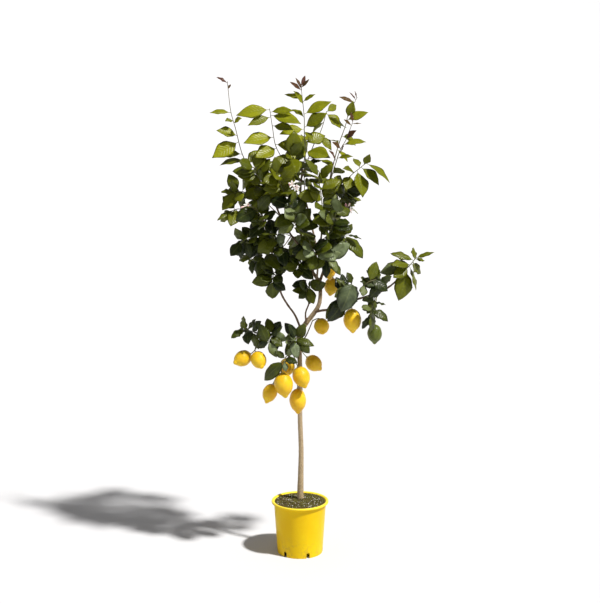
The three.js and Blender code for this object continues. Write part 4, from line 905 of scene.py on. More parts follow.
# Each leafy stem: kind, how many leaves are set by rule and at what scale, then each listed leaf: the share
# along the stem, where its tip is, and its width as a share of its length.
LEAFY_STEMS = {
    # The shoots at the top of the crown.
    "shoot_left": ("young", 0, 1, [(1, -290, -12, 1708, 0.45), (0.95, -243, 12, 1690, 0.35),
        (0.79, -315, -15, 1585, 0.32), (0.69, -265, -25, 1555, 0.62), (0.66, -200, -30, 1567, 0.62),
        (0.54, -290, -30, 1525, 0.59), (0.5, -305, -45, 1430, 0.53), (0.41, -290, -15, 1440, 0.5),
        (0.35, -280, -30, 1405, 0.5), (0.29, -135, 50, 1460, 0.53), (0.2, -115, -45, 1405, 0.53),
        (0.12, -185, -40, 1300, 0.59)]),
    "shoot_mid_left": ("young", 0, 1, [(1, -220, -50, 1575, 0.39), (0.96, -20, -50, 1590, 0.33),
        (0.91, -180, -60, 1540, 0.39), (0.93, 5, -65, 1545, 0.5), (0.82, -30, -70, 1525, 0.59),
        (0.69, -195, -70, 1480, 0.5), (0.61, -5, -10, 1460, 0.59), (0.57, -155, -85, 1430, 0.59),
        (0.41, -125, -70, 1385, 0.59)]),
    "shoot_centre": ("young", 0, 1, [(0.86, -55, 10, 1650, 0.35), (0.82, 55, -15, 1650, 0.35),
        (0.78, -30, -20, 1660, 0.47), (0.66, 110, -10, 1625, 0.38), (0.62, -30, 30, 1600, 0.41),
        (0.47, 95, -30, 1585, 0.5), (0.41, 45, -30, 1490, 0.47), (0.36, -55, -45, 1470, 0.53),
        (0.29, 90, 45, 1510, 0.59), (0.25, -35, -60, 1425, 0.62), (0.21, 105, -60, 1430, 0.59),
        (0.44, -72, -20, 1512, 0.5)]),
    "shoot_centre_right": ("young", 0, 1, [(0.96, 145, 35, 1535, 0.59), (1, 130, 95, 1620, 0.41),
        (0.81, 45, 80, 1520, 0.53), (0.54, 110, 15, 1460, 0.59), (0.42, 5, 75, 1505, 0.59)]),
    "shoot_right_a": ("young", 0, 1, [(0.66, 185, 10, 1630, 0.53), (0.6, 240, 20, 1590, 0.4),
        (0.47, 115, 80, 1565, 0.47), (0.36, 200, 90, 1475, 0.53), (0.28, 80, 75, 1500, 0.53),
        (0.21, 170, -5, 1425, 0.59)]),
    "shoot_right_b": ("young", 0, 1, [(0.81, 195, -50, 1525, 0.5), (0.68, 230, -40, 1485, 0.42),
        (0.61, 110, -50, 1485, 0.5), (0.53, 155, -65, 1475, 0.47), (0.46, 185, -50, 1435, 0.35),
        (0.41, 90, -60, 1460, 0.38), (0.35, 70, 0, 1425, 0.59), (0.29, 165, -75, 1385, 0.59),
        (0.23, 55, -85, 1345, 0.62)]),
    "shoot_right": ("young", 0, 1, [(1, 310, -60, 1345, 0.59), (0.9, 240, -70, 1445, 0.59),
        (0.8, 270, -80, 1340, 0.62), (0.76, 185, -20, 1430, 0.59), (0.68, 215, -90, 1295, 0.62),
        (0.6, 120, -80, 1395, 0.47), (0.5, 155, -100, 1320, 0.62), (0.4, 115, -80, 1365, 0.59)]),
    # The crown on its own branches.
    "spray_left_a": ("olive", 4, 0.9, [(1, -275, -65, 1310, 0.5), (0.85, -235, -70, 1355, 0.6),
        (0.7, -250, -15, 1375, 0.55), (0.6, -260, -90, 1255, 0.6), (0.5, -165, -55, 1385, 0.5),
        (0.42, -205, -10, 1245, 0.55)]),
    "spray_left_b": ("olive", 4, 0.9, [(1, -310, -65, 1270, 0.62), (0.9, -300, -50, 1205, 0.3),
        (0.8, -260, -85, 1290, 0.62), (0.73, -240, -85, 1185, 0.55), (0.6, -185, -70, 1315, 0.5),
        (0.5, -155, -90, 1210, 0.55)]),
    "spray_left_c": ("dark", 17, 0.95, []),
    "spray_left_d": ("dark", 5, 0.85, [(1, -190, -55, 1045, 0.5), (0.85, -165, -75, 1030, 0.42),
        (0.75, -215, -35, 1095, 0.55), (0.62, -160, -5, 1015, 0.4), (0.55, -175, -75, 1135, 0.6),
        (0.42, -125, -45, 985, 0.42), (0.3, -100, -80, 1015, 0.55)]),
    "spray_low_left": ("dark", 17, 0.95, []),
    "spray_low_centre": ("dark", 17, 0.95, []),
    "spray_leader": ("dark", 10, 0.78, []),
    "spray_mid_left": ("dark", 17, 1, []),
    "spray_mid_right": ("dark", 16, 1, []),
    "spray_front_left": ("dark", 17, 1, []),
    "spray_front_centre": ("dark", 17, 1, []),
    "spray_front_right": ("dark", 17, 1, []),
    "spray_front_high_left": ("olive", 16, 1, []),
    "spray_front_high": ("olive", 16, 1, []),
    "spray_front_high_right": ("olive", 17, 1, []),
    "spray_centre_top": ("olive", 16, 1.05, []),
    "spray_right_a": ("dark", 16, 0.92, []),
    "spray_right_b": ("dark", 7, 0.9, [(1, 215, -55, 1150, 0.45), (0.85, 205, -60, 1075, 0.55),
        (0.9, 190, -20, 1195, 0.55), (0.7, 155, -45, 1200, 0.6), (0.55, 105, -65, 1105, 0.6),
        (0.48, 145, 30, 1085, 0.6), (0.95, 180, -70, 1240, 0.55), (0.8, 205, -60, 1225, 0.5)]),
    "spray_right_c": ("dark", 5, 0.9, [(1, 20, -160, 1100, 0.42), (0.95, 125, -160, 1045, 0.45),
        (0.85, 110, -170, 1160, 0.6), (0.75, 50, -180, 1060, 0.6), (0.6, 140, -125, 1110, 0.55),
        (0.5, 90, -125, 1020, 0.5), (0.4, 130, -150, 1030, 0.55), (0.32, 150, -130, 1060, 0.6),
        (0.45, 178, -125, 1025, 0.5), (0.55, 165, -135, 1062, 0.55)]),
    "spray_back_top": ("olive", 10, 1.08, []),
    "spray_back_left": ("olive", 10, 1.08, []),
    "spray_back_right": ("olive", 10, 1.08, []),
    "spray_back_low": ("dark", 10, 1.08, []),
    # The long side branch on the right.
    "spray_lateral_tip": ("olive", 2, 0.8, [(1, 470, -50, 1105, 0.26), (0.9, 440, -20, 1072, 0.35),
        (0.75, 315, -50, 1100, 0.42), (0.6, 410, -70, 1025, 0.6), (0.45, 305, -75, 1070, 0.5),
        (0.4, 400, -80, 975, 0.5), (0.35, 352, -90, 985, 0.6), (0.3, 325, -95, 950, 0.65),
        (0.25, 345, -60, 935, 0.6)]),
    "spray_lateral_mid": ("dark", 6, 0.8, [(1, 215, -75, 1030, 0.6), (0.9, 255, -130, 995, 0.62),
        (0.8, 280, -85, 1070, 0.62), (0.7, 315, -120, 1000, 0.65), (0.6, 235, -70, 1055, 0.55),
        (0.5, 204, -85, 985, 0.6), (0.42, 315, -75, 1050, 0.6), (0.65, 212, -110, 968, 0.6),
        (0.85, 204, -100, 1006, 0.55), (0.36, 238, -110, 951, 0.6)]),
    "spray_lateral_low": ("dark", 4, 0.8, [(1, 210, -115, 835, 0.45), (0.85, 305, -115, 870, 0.5),
        (0.75, 270, -85, 835, 0.5), (0.6, 235, -125, 895, 0.65), (0.45, 300, -105, 925, 0.6),
        (0.35, 215, -85, 940, 0.6), (0.3, 203, -95, 920, 0.6), (0.9, 275, -120, 905, 0.55)]),
    "spray_lateral_root": ("dark", 6, 0.85, [(1, 140, -125, 905, 0.62), (0.9, 190, -135, 925, 0.6),
        (0.8, 115, -130, 965, 0.55), (0.7, 208, -118, 965, 0.6), (0.6, 125, -100, 1015, 0.5),
        (0.5, 175, -70, 1035, 0.55), (0.35, 95, -105, 868, 0.58), (0.95, 165, -140, 1035, 0.55),
        (0.3, 90, -70, 872, 0.5)]),
    # The cluster round the lowest lemons.
    "spray_fruit_left": ("dark", 4, 0.75, [(1, -255, -50, 845, 0.4), (0.85, -240, -70, 805, 0.5),
        (0.65, -200, -75, 870, 0.45), (0.5, -155, -50, 870, 0.5), (0.4, -180, -90, 785, 0.6),
        (0.3, -200, -5, 795, 0.5), (0.25, -135, -75, 865, 0.5), (0.2, -145, -60, 762, 0.5)]),
    "spray_fruit_mid": ("dark", 8, 0.8, [(1, -140, -95, 860, 0.55), (0.85, -125, -110, 780, 0.6),
        (0.75, -60, -90, 850, 0.55), (0.65, -85, -120, 765, 0.6), (0.5, -115, -35, 870, 0.5),
        (0.4, -45, -90, 800, 0.55), (0.35, -145, -60, 795, 0.5), (0.3, -122, -80, 755, 0.5),
        (0.95, -92, -115, 738, 0.5), (0.9, -62, -120, 770, 0.5)]),
    "spray_fruit_right": ("dark", 5, 0.7, [(1, -60, -120, 795, 0.6), (0.9, -10, -125, 742, 0.55),
        (0.8, 50, -105, 782, 0.4), (0.7, -40, -110, 862, 0.5), (0.6, 34, -70, 750, 0.5),
        (0.5, -65, -70, 755, 0.5), (0.4, 18, -85, 860, 0.5), (0.35, -40, -60, 865, 0.5)]),
    "spray_fruit_low": ("dark", 0, 1, [(1, -76, -130, 700, 0.62), (0.85, -125, -105, 645, 0.42),
        (0.7, -8, -130, 728, 0.5), (0.6, -88, -110, 766, 0.5), (0.45, -20, -120, 780, 0.45)]),
}
# The purple ends of three shoots: the shoot, how far each goes on, and its leaves.
TIPS = {
    "shoot_centre_tip": ("shoot_centre", 25, [(1, 12, 14, 1722, 0.3), (0.85, 32, 5, 1706, 0.26),
        (0.7, -16, 10, 1708, 0.3), (0.5, -36, -10, 1692, 0.36), (0.4, 2, -20, 1714, 0.36)]),
    "shoot_right_a_tip": ("shoot_right_a", 30, [(1, 210, 15, 1672, 0.3), (0.7, 172, 42, 1662, 0.3),
        (0.3, 135, 10, 1642, 0.33)]),
    "shoot_right_b_tip": ("shoot_right_b", 24, [(1, 182, -20, 1592, 0.34), (0.7, 212, -40, 1548, 0.28),
        (0.4, 150, -45, 1562, 0.36)]),
}


def draw(key, channel):
    """A number from 0 to 1 that is fixed by its two keys. A leaf's channels: 1 its turn, 2 its lean, 3 how it
    hangs, 4 to 6 how it faces, 7 length, 8 width, 9 bend, 10 fold, 11 green, 12 how its margin runs, 13
    painted sheen and 14 purple."""
    wave = math.sin(key * 127.1 + channel * 311.7) * 43758.5453
    return wave - math.floor(wave)


def turned_about(v, axis, degrees):
    """The vector turned about a unit axis."""
    c, s = math.cos(math.radians(degrees)), math.sin(math.radians(degrees))
    return v * c + np.cross(axis, v) * s + axis * np.dot(axis, v) * (1 - c)


def leaf_nodes(shares, start, end, length):
    """Where each leaf's node starts on its stem, and where the stem's next stop is."""
    node = min(NODE / length, (end - start) / (len(shares) + 0.6))
    order = sorted(range(len(shares)), key=lambda i: (shares[i], -i))
    lows, ceiling = {}, end - 0.3 * node
    for i in reversed(order):
        lows[i] = ceiling = min(shares[i] - node / 2, ceiling - node)
    squeeze = min(1, (end - start - 0.3 * node) / (end - ceiling))
    lows = {i: end - (end - low) * squeeze for i, low in lows.items()}
    highs = {i: low + node * squeeze for i, low in lows.items()}
    for i, after in zip(order, order[1:] + [None]):
        if after is not None and lows[after] - highs[i] < BARE / length:
            highs[i] = lows[after]
    stops = sorted({start, end, *lows.values(), *highs.values()})
    return {i: (low, stops[stops.index(low) + 1]) for i, low in lows.items()}


def chord_by_rule(length, lean, along, key, index, count, scale):
    """From a leaf's root to its tip: round the stem by the golden angle, leaning off it, and last of
    all nearly in line with it."""
    level = unit(np.cross(along, UP))
    upright = np.cross(level, along)
    turn = math.radians(index * GOLDEN_ANGLE + key * 29 + 30 * draw(key, 1))
    lean = math.radians((0.25 if index == count - 1 else 1) * (lean + 26 * (draw(key, 2) - 0.5)))
    way = along * math.cos(lean) + math.sin(lean) * (level * math.cos(turn) + upright * math.sin(turn))
    return unit(way - UP * 0.3 * draw(key, 3)) * length * scale * (0.78 + 0.4 * draw(key, 7))


def leaf_on_try(root, along, wanted, kind, key, attempt):
    """How a leaf lies on one of its tries, and where its tip comes."""
    _, _, _, bending, folding, skyward, sunward = KINDS[kind]
    turn, tilt, shrink = attempt
    chord = turned_about(wanted, along, turn) * shrink
    chord = turned_about(chord, unit(np.cross(along, chord)), tilt)
    reach, course = float(np.linalg.norm(chord)), unit(chord)
    outward = unit((root - CROWN_AXIS) * (1, 1, 0))
    face = np.array([draw(key, 4), draw(key, 5), draw(key, 6)]) - 0.5
    face = face + UP * skyward + outward * (1 - skyward) + LIGHT * sunward
    face = unit(face - course * np.dot(face, course))
    bend = math.radians(bending * (0.5 + draw(key, 9)))
    ahead = course * math.cos(bend / 2) + face * math.sin(bend / 2)
    face = face * math.cos(bend / 2) - course * math.sin(bend / 2)
    length = reach * bend / (2 * math.sin(bend / 2))
    radius = length / bend
    tip = root + ahead * radius * math.sin(bend) + face * radius * (math.cos(bend) - 1)
    fold = folding * (0.6 + 0.8 * draw(key, 10))
    return tip, (root, ahead, face, np.cross(ahead, face), length, bend, fold)


def leaves_on(node, line, start, end, kind, number, fill, scale, hand_set):
    """The leaves of one stem as the solid of that name has them: each takes the first of its tries
    whose tip is one of the solid's points."""
    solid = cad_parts[node].data
    nearest = nearest_of([vertex.co for vertex in solid.vertices])
    shares = [leaf[0] for leaf in hand_set]
    shares += [start + (end - start) * ((i + 0.7) / fill) for i in range(fill)]
    nodes = leaf_nodes(shares, start, end, line.length)
    length, slimness, lean = KINDS[kind][:3]
    leaves = []
    for i in range(len(shares)):
        low, high = (line.at(share) for share in nodes[i])
        root, along = (low + high) / 2, unit(high - low)
        key, index = number * KEYS_APART + i, i - len(hand_set)
        if index < 0:
            wanted, slim = np.array(hand_set[i][1:4], dtype=float) - root, hand_set[i][4]
        else:
            wanted = chord_by_rule(length, lean, along, key, index, fill, scale)
            slim = slimness * (0.9 + 0.2 * draw(key, 8))
        for attempt in TRIES:
            tip, leaf = leaf_on_try(root, along, wanted, kind, key, attempt)
            if nearest.find(Vector((tip * MM).tolist()))[2] < FOUND:
                leaves.append((*leaf, leaf[4] * slim, key))
                break
    return leaves


def leafy_stem_skeleton(name, line, start, end, radii, kind, leaves, colour_of):
    """A mesh with only the stem's middle line and one loose point for each leaf. What the recipe needs
    to know of each is kept with its point."""
    shares = np.linspace(start, end, max(6, int(line.length * (end - start) / STEM_STEP)))
    nothing, rows = (0, 0, 0), []
    for i, share in enumerate(shares):
        girth = float(np.interp(share, (start, end), radii)) * MM
        flush = (i / len(shares)) * 0.8 if kind in ("young", "purple") else 0
        rows.append((line.at(share), nothing, nothing, nothing, (girth, 0, 0), nothing,
                     (TONES[kind][0], flush, 0)))
    for root, ahead, face, across, length, bend, fold, width, key in leaves:
        rows.append((root, ahead, face, across, (length * MM, width * MM, bend), (fold, draw(key, 12), 1),
                     colour_of(key, root[2])))
    spots, *notes = zip(*rows)
    piece = add_mesh(name, spots, [], [(i, i + 1) for i in range(len(shares) - 1)])
    for label, values in zip(("ahead", "face", "across", "size", "form", "tint"), notes):
        store(piece.data, label, values, "FLOAT_VECTOR")
    return piece


def with_note(shape, name, value, kind="FLOAT_VECTOR", domain="POINT"):
    """The shape with a value kept under that name with each of its points or faces."""
    return add_node(shape.tree, "GeometryNodeStoreNamedAttribute", {"data_type": kind, "domain": domain},
                    Geometry=shape, Name=name, Value=value)


def merged(shape, distance):
    return add_node(shape.tree, "GeometryNodeMergeByDistance", Geometry=shape, Distance=distance)


def blank_leaf(tree, rows, columns):
    """A flat closed blade, one unit square, its two sheets joined round the margin."""
    flat = add_node(tree, "GeometryNodeMeshGrid", Size_X=1.0, Size_Y=1.0, Vertices_X=rows + 1,
                    Vertices_Y=columns + 1)
    spot = add_node(tree, "GeometryNodeInputPosition")
    x, y, _ = parts_of(spot)
    inside = (0.25 - x * x) * (0.25 - y * y)
    sheets = []
    for sheet in (1.0, -1.0):
        lift = add_node(tree, "ShaderNodeCombineXYZ", Z=inside * sheet)
        moved = add_node(tree, "GeometryNodeSetPosition", Geometry=flat, Offset=lift)
        if sheet < 0:
            moved = add_node(tree, "GeometryNodeFlipFaces", Mesh=moved)
        sheets.append(with_note(moved, "underside", float(sheet < 0), "FLOAT", "FACE"))
    return with_note(merged(united(*sheets), 1e-4), "blade", spot)


def shaped_leaf(tree, given):
    """Where each point of a leaf goes, from its place on the blank and what is kept with its leaf: s is
    its share from the root to the tip, and u its share from the midrib to either edge."""
    x, y, z = parts_of(noted(tree, "blade"))
    length, width, bend = parts_of(noted(tree, "size"))
    fold, chance, _ = parts_of(noted(tree, "form"))
    s, u = (x + 0.5) ** 1.3, y * 2.0  # rows lie closer together towards the root
    flank = maths("ABSOLUTE", u)
    sheet = maths("SIGN", z * maths("GREATER_THAN", maths("ABSOLUTE", z), 1e-5))
    t = (s - given["Petiole share"]) / (1.0 - given["Petiole share"])
    t = maths("MINIMUM", maths("MAXIMUM", t, 0.0), 1.0)
    arch = maths("SINE", math.pi * t)
    # The outline: the blade, with an uneven margin, and the petiole below it.
    swell = maths("MAXIMUM", maths("SINE", math.pi * t ** given["Fullness"]), 0.0) ** given["Pointedness"]
    margin = 1.0 + 0.035 * maths("SINE", s * 46.0 + chance * 40.0 + u * 2.0)
    stalk = given["Petiole radius"] * between(s, 0.3, 0.6, 1, 0)
    half = maths("MAXIMUM", width * 0.5 * swell * margin, stalk)
    # The thickness: a thin sheet, and a round petiole.
    in_blade = between(s, 0.07, 0.15)
    leaf_thick = given["Thickness"] * 0.5 * (1.0 - flank ** 3.0)
    stalk_thick = given["Petiole radius"] * maths("SQRT", 1.0 - u * u)
    thick = in_blade * leaf_thick + (1.0 - in_blade) * stalk_thick
    # The relief: folded up, wavy at the margin, twisted, and sunk along the midrib.
    cup = fold * half * (0.5 * flank + 0.62 * u * u)
    wave = given["Margin wave"] * flank * flank * maths("SINE", s * 17.0 + chance * 29.0 + u * 1.2) * arch
    twist = half * u * (chance - 0.5) * s * given["Twist"]
    groove = given["Midrib depth"] * -1.0 * in_blade * maths("LESS_THAN", flank, 0.1) * arch
    rise = cup + wave + twist + groove + sheet * thick
    # All of it bent over along an arc.
    turn, radius = bend * s, length / bend
    forward = (radius + rise) * maths("SINE", turn)
    upward = radius * (maths("COSINE", turn) - 1.0) + rise * maths("COSINE", turn)
    spot = noted(tree, "root")
    for amount, way in ((forward, "ahead"), (upward, "face"), (half * u, "across")):
        spot = add_node(tree, "ShaderNodeVectorMath", {"operation": "ADD"},
                        i0=spot, i1=scaled(noted(tree, way), amount))
    return spot, s, u


def leafy_stem_recipe():
    """Sets a shaped leaf on each loose point of the skeleton, and a round stem along its line."""
    tree, given = new_recipe(
        "leafy stem", Rows=int, Columns=int, Thickness=float, Petiole_share=float, Petiole_radius=float,
        Fullness=float, Pointedness=float, Margin_wave=float, Midrib_depth=float, Twist=float,
        Stem_sides=int, Leaf_finish="finish", Stem_finish="finish")
    is_leaf = maths("GREATER_THAN", parts_of(noted(tree, "form"))[2], 0.5)
    leaf_points = add_node(tree, "GeometryNodeSeparateGeometry", {"domain": "POINT"},
                           Geometry=given["Geometry"], Selection=is_leaf)
    stem_line = Value(leaf_points.socket.node.outputs["Inverted"])
    rooted = with_note(leaf_points, "root", add_node(tree, "GeometryNodeInputPosition"))
    leaves = realised(add_node(tree, "GeometryNodeInstanceOnPoints", Points=rooted,
                               Instance=blank_leaf(tree, given["Rows"], given["Columns"])))
    spot, s, u = shaped_leaf(tree, given)
    leaves = with_note(leaves, "on leaf", add_node(tree, "ShaderNodeCombineXYZ", X=s, Y=u))
    leaves = add_node(tree, "GeometryNodeSetPosition", Geometry=leaves, Position=spot)
    leaves = coated(merged(leaves, 2e-5), given["Leaf finish"])
    line = add_node(tree, "GeometryNodeSetCurveRadius", Radius=parts_of(noted(tree, "size"))[0],
                    Curve=add_node(tree, "GeometryNodeMeshToCurve", Mesh=stem_line))
    section = add_node(tree, "GeometryNodeCurvePrimitiveCircle", Resolution=given["Stem sides"], Radius=1.0)
    stem = add_node(tree, "GeometryNodeCurveToMesh", Curve=line, Profile_Curve=section,
                    Scale=add_node(tree, "GeometryNodeInputRadius"), Fill_Caps=True)
    stem = add_node(tree, "GeometryNodeSetShadeSmooth", Geometry=stem)
    return ending_in(united(leaves, coated(stem, given["Stem finish"])))


def ramp(share, stops):
    """A colour that runs through those of the stops."""
    colour = add_node(share.tree, "ShaderNodeValToRGB", Fac=share)
    marks = colour.socket.node.color_ramp.elements
    while len(marks) < len(stops):
        marks.new(0.5)
    for mark, (spot, shade) in zip(marks, stops):
        mark.position, mark.color = spot, shade
    return colour


def veins(s, flank):
    """Where the veins run: 1 on the midrib and on nine pairs of side veins that curve to the tip. With
    it, how far each place lies from the middle between two side veins."""
    midrib = between(flank, 0.03, 0.09, 1, 0)
    off = maths("ABSOLUTE", maths("FRACT", s * 10.0 - flank ** 1.25 * 2.3) - 0.5)
    side = between(off, 0.0, 0.09, 1, 0) * between(flank, 0.75, 1.0, 1, 0.2)
    return maths("MAXIMUM", midrib, side * 0.6), off


def leaf_finish():
    """Glossy above and dull below, with veins, mottling and a painted whitish sheen that stands in for the
    sky's reflection. A little light comes through from the other side."""
    material = new_finish("glossy lemon leaf")
    tree, where = material.node_tree, place(material)
    # the tint's third number, waxy, is the share of painted sheen
    tone, purple, waxy = parts_of(kept_with(material, "tint"))
    s, u, _ = parts_of(kept_with(material, "on leaf"))
    flank = maths("ABSOLUTE", u)
    vein, off = veins(s, flank)
    mottling = between(noise_value(where, 55, 3), 0.3, 0.7, -0.09, 0.09)
    tone = tone + mottling + between(flank, 0.5, 1.0, 0.0, -0.04)
    # painted shade: the stops past 0.82 are darker than the old leaves' own green, standing in for the shade
    # inside the crown
    green = ramp(tone, [
        (0.0, (0.32, 0.335, 0.009, 1)), (0.2, (0.18, 0.2, 0.004, 1)), (0.42, (0.11, 0.125, 0.003, 1)),
        (0.62, (0.072, 0.09, 0.004, 1)), (0.82, (0.028, 0.04, 0.003, 1)), (1.0, (0.006, 0.013, 0.003, 1))])
    green = blend(vein * 0.4, green, blend(0.35, green, (0.3, 0.34, 0.1, 1)))
    green = blend(between(purple, 0.1, 0.9), green, (0.1, 0.034, 0.022, 1))
    # painted sheen: on the listed leaves the green is blended in patches towards a pale grey-green, standing
    # in for the sky's reflection on the gloss
    painted_sheen = waxy * between(noise_value(where, 24, 2), 0.3, 0.66, 0.1, 0.8)
    green = blend(painted_sheen, green, (0.27, 0.33, 0.18, 1))
    underside = kept_with(material, "underside", "Fac")
    colour = blend(underside, green, blend(0.35, green, (0.15, 0.18, 0.05, 1)))
    quilting = maths("COSINE", off * 6.283)
    relief = vein * -0.5 + quilting * -0.25 + noise_value(where, 240, 2) * 0.3
    finished(material, Base_Color=colour, Roughness=between(underside, 0, 1, 0.3, 0.6),
             Specular_IOR_Level=0.25, Normal=bump(relief, 0.0007))
    through = add_node(tree, "ShaderNodeBsdfTranslucent", Color=blend(0.5, colour, (0.36, 0.4, 0.01, 1)))
    both = add_node(tree, "ShaderNodeMixShader", i0=between(tone, 0.1, 0.9, 0.32, 0.06),
                    i1=Value(tree.nodes["Principled BSDF"].outputs[0]), i2=through)
    set_inputs(tree.nodes["Material Output"], Surface=both)
    return material


def stem_finish():
    """Green mottled with brown, and purple towards the end of a young shoot."""
    material = new_finish("green stem")
    tone, purple, _ = parts_of(kept_with(material, "tint"))
    green = ramp(tone, [
        (0.0, (0.1, 0.12, 0.03, 1)), (0.5, (0.1, 0.11, 0.03, 1)), (1.0, (0.07, 0.07, 0.025, 1))])
    mottling = between(noise_value(place(material), 90), 0.35, 0.65, 0, 0.5)
    green = blend(mottling, green, (0.14, 0.09, 0.045, 1))
    return finished(material, Base_Color=blend(purple * 0.9, green, (0.1, 0.07, 0.06, 1)), Roughness=0.5)


LEAF, STEM = leaf_finish(), stem_finish()
LEAFY_STEM = leafy_stem_recipe()
# Leaves that are still brown among the green ones, and those given a painted whitish sheen that stands in for
# the sky's reflection. Each is picked by its place in the order that its stem's leaves are set.
BROWN = {"shoot_left": (0, 1), "shoot_right_b": (0, 2, 3, 5)}
PAINTED_SHEEN_LEAVES = {
    "spray_front_centre": (6, 7, 12, 14), "spray_mid_left": (7, 11), "spray_mid_right": (0, 2, 9, 11),
    "spray_right_c": (1, 4, 8, 10), "spray_lateral_root": (0, 1, 2, 3, 9), "spray_lateral_low": (5, 7, 10),
    "spray_lateral_mid": (1, 6, 15), "spray_lateral_tip": (7,), "spray_fruit_right": (0, 1, 9, 11),
    "spray_fruit_low": (0, 4), "spray_fruit_mid": (5, 8), "spray_front_right": (12, 16),
    "spray_front_high_right": (1, 2),
}


def leaf_colour(name, kind, first, key, height):
    """Where a leaf's green lies from lime to nearly black, how purple it is, and how much painted sheen it
    has.
    """
    low, high = TONES[kind]
    tone = low + (high - low) * draw(key, 11)
    if kind == "young":
        tone += float(np.interp(height, (1340, 1500), (0.28, 0)))
    brown = kind == "purple" or key - first in BROWN.get(name, ())
    # the share of painted sheen, weaker on the long side branch
    waxy = (key - first in PAINTED_SHEEN_LEAVES.get(name, ())) * (0.5 if "lateral" in name else 1)
    return tone, brown * (0.7 + 0.3 * draw(key, 14)), waxy * (0.7 + 0.3 * draw(key, 13))


def grow(name, line, start, end, radii, kind, number, fill, scale, hand_set):
    """A leafy stem in place of the solid of that name."""
    leaves = leaves_on(name, line, start, end, kind, number, fill, scale, hand_set)
    first = number * KEYS_APART
    piece = leafy_stem_skeleton(name + "_leaves", line, start, end, radii, kind, leaves,
                                lambda key, height: leaf_colour(name, kind, first, key, height))
    pointed, wave, twist = SHAPES[kind]
    follow_recipe(piece, LEAFY_STEM, Rows=12, Columns=6, Thickness=0.00045, Petiole_share=0.1,
                  Petiole_radius=0.00095, Fullness=0.85, Pointedness=pointed, Margin_wave=wave,
                  Midrib_depth=0.0006, Twist=twist, Stem_sides=8, Leaf_finish=LEAF, Stem_finish=STEM)
    piece.data.shade_smooth()
    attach(piece, "root")
    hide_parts(name)


for number, (name, (kind, fill, scale, hand_set)) in enumerate(LEAFY_STEMS.items()):
    line, green = TWIG_LINES[name], TWIGS[name][2]
    grow(name, line, green + GAP / line.length, 1, STEM_RADII, kind, number, fill, scale, hand_set)
for number, (name, (shoot, reach, hand_set)) in enumerate(TIPS.items(), TIP_NUMBERS):
    line = TWIG_LINES[shoot]
    root, ahead = line.at(1) + line.ahead(1) * GAP, line.ahead(1)
    grow(name, Line([root, root + ahead * reach]), 0, 1, TIP_RADII, "purple", number, 0, 1, hand_set)


# ---------- Blossoms ----------
# Bunches of waxy white flowers and pink-tinged buds, on short stalks at the end of a twig. A flower
# has five petals that curl back, and a column of fused stamens round its pistil.
BLOSSOMS = {"blossom_left": (4, 1), "blossom_centre": (4, 2), "blossom_right": (4, 1)}  # buds, flowers
BLOSSOM_KEYS, BUNCH_KEYS = 900, 20  # the key of the first one, and how many are kept for a bunch
BUD_PROFILE = [
    (0, 0), (1.0, 0.4), (1.0, 9), (1.7, 10.6), (3.2, 13.5), (3.6, 17), (3.0, 20.5), (1.6, 23.8), (0, 25),
]
COLUMN_PROFILE = [  # the stalk, the green cup and the stamens and pistil of an open flower
    (0, 0), (1.0, 0.4), (1.1, 10), (2.0, 12.5), (1.9, 14.4), (1.2, 14.8), (1.5, 19), (1.9, 21.5),
    (0.7, 22.3), (0.8, 24), (0, 24.4),
]
BLOSSOM_SIDES = 16
BLOSSOM_LEAN = 50  # off the stalk (degrees)
ON_STALK = 0.5  # the share of the stalk that carries them, from its end
PETAL_ROOT, PETAL_LENGTH, PETAL_WIDTH = 14, 16, 6.4
PETAL_BEND, PETAL_FOLD = 1.0, 0.25  # from root to tip (radians), and how far its edges fold up


def petals(at, ahead, side, key):
    """Five petals as a leafy stem's recipe takes them: each sets out from the middle and curls back."""
    root = at + ahead * PETAL_ROOT
    for k in range(5):
        out = turned_about(side, ahead, 72 * k + 20 * draw(key, k))
        way = unit(out + ahead * (0.75 + 0.2 * draw(key, 10 + k)))
        face = unit(ahead - way * np.dot(ahead, way))
        length = PETAL_LENGTH * (0.95 + 0.1 * draw(key, 20 + k))
        yield (root + out * 0.6, way, face, np.cross(way, face), length, PETAL_BEND, PETAL_FOLD,
               PETAL_WIDTH, key * 7 + k)


def waxy_petal():
    material = new_finish("waxy white petal")
    white = mottled(place(material), 160, (0.8, 0.74, 0.7, 1), (0.88, 0.86, 0.8, 1), 0.3, 0.7)
    return finished(material, Base_Color=white, Roughness=0.45, Subsurface_Weight=0.2,
                    Subsurface_Radius=(0.003, 0.002, 0.002))


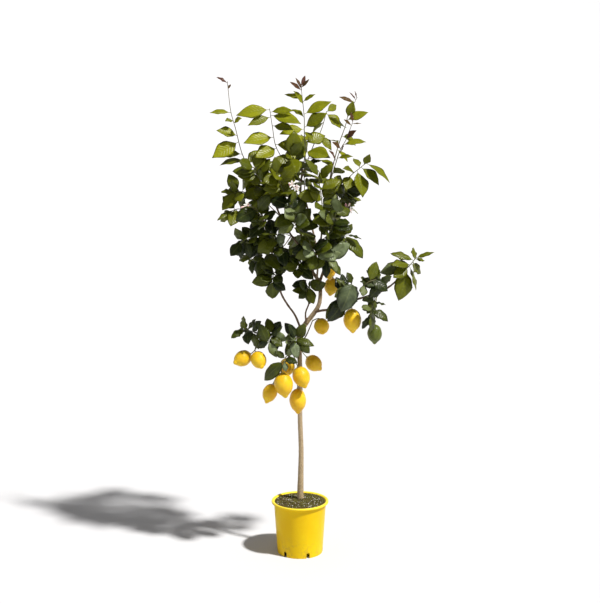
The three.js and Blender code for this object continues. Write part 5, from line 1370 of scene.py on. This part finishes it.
PETAL = waxy_petal()
BUD = mottled_finish("pink-tinged bud", 130, (0.55, 0.22, 0.26, 1), (0.84, 0.72, 0.66, 1), 0.5)
for number, (name, (buds, flowers)) in enumerate(BLOSSOMS.items()):
    line = TWIG_LINES[name]
    start, count = BLOSSOM_TWIGS[name][2] + GAP / line.length, buds + flowers
    along, open_petals, solids = line.ahead(1), [], []
    for i in range(count):
        at = on_chords(line, 1 - (1 - start) * ON_STALK * i / count, start, 1, 1)
        key = BLOSSOM_KEYS + number * BUNCH_KEYS + i
        ahead = unit(chord_by_rule(1, BLOSSOM_LEAN, along, key, i, count + 1, 1) + LIGHT * 0.3)
        side, _ = square_to(ahead, (0.31, 0.2, 0.93))
        solids.append(turned(COLUMN_PROFILE if i < flowers else BUD_PROFILE, BLOSSOM_SIDES, at, ahead, side))
        if i < flowers:
            open_petals += petals(at, ahead, side, key)
    piece = leafy_stem_skeleton(name + "_flowers", line, start, 1, FLOWER_STEM_RADII, "young", open_petals,
                                lambda *_: (0.1, 0, 0))
    follow_recipe(piece, LEAFY_STEM, Rows=8, Columns=4, Thickness=0.0009, Petiole_share=0.02,
                  Petiole_radius=0.0009, Fullness=1.2, Pointedness=0.75, Margin_wave=0.0006,
                  Midrib_depth=0.0002, Twist=0.2, Stem_sides=8, Leaf_finish=PETAL, Stem_finish=STEM)
    closed = add_mesh(name + "_buds", *joined(solids))
    closed.data.materials.append(BUD)
    for part in (piece, closed):
        part.data.shade_smooth()
        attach(part, "root")
    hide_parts(name)


# ---------- Studio ----------
# A plain pale floor that rises gently all round, far off, into a backdrop, under a strong key light
# from the front right and an even fill.
FLAT_RADIUS, CURVE_RADIUS, RISE, SLOPE = 5000, 9000, 15, 30000  # the rise in degrees
KEY_LIGHT_WAY = (-0.48, 0.31, -0.82)
SENSOR, FOCAL_PIXELS, IMAGE_HEIGHT = 36, 1019, 603
EYE, LOOK_DOWN = (0, -3.6, 1.4), 7.52  # where the camera stands (m), and how far it tips (degrees)


def sweep():
    """A wide round floor that rises all round in a gentle curve and then a slope."""
    turn = np.radians(np.linspace(0, RISE, 8))
    profile = [(FLAT_RADIUS + CURVE_RADIUS * math.sin(a), CURVE_RADIUS - CURVE_RADIUS * math.cos(a))
               for a in turn]
    radius, height = profile[-1]
    profile.append((radius + SLOPE * math.cos(turn[-1]), height + SLOPE * math.sin(turn[-1])))
    return turned(reversed([(0, 0)] + profile), 96)


backdrop = add_mesh("pale_sweep", *sweep())
backdrop.data.shade_smooth()
backdrop.data.materials.append(
    finished(new_finish("pale paper"), Base_Color=(0.63, 0.64, 0.68, 1), Roughness=0.9))

key_light = bpy.data.lights.new("key", "SUN")
key_light.energy, key_light.angle, key_light.color = 5.3, math.radians(4), (1, 0.97, 0.91)
key = add_object("key", key_light)
key.rotation_euler = Vector(KEY_LIGHT_WAY).to_track_quat("-Z", "Y").to_euler()
world = bpy.data.worlds.new("studio")
world.use_nodes = True
set_inputs(world.node_tree.nodes["Background"], Color=(1, 0.97, 0.92, 1), Strength=0.22)
bpy.context.scene.world = world
bpy.context.scene.view_settings.view_transform = "Standard"

lens = bpy.data.cameras.new("camera")
lens.sensor_width = SENSOR
lens.lens = SENSOR * FOCAL_PIXELS / IMAGE_HEIGHT
camera = add_object("camera", lens)
camera.location = EYE
camera.rotation_euler = (math.radians(90 - LOOK_DOWN), 0, 0)
bpy.context.scene.camera = camera
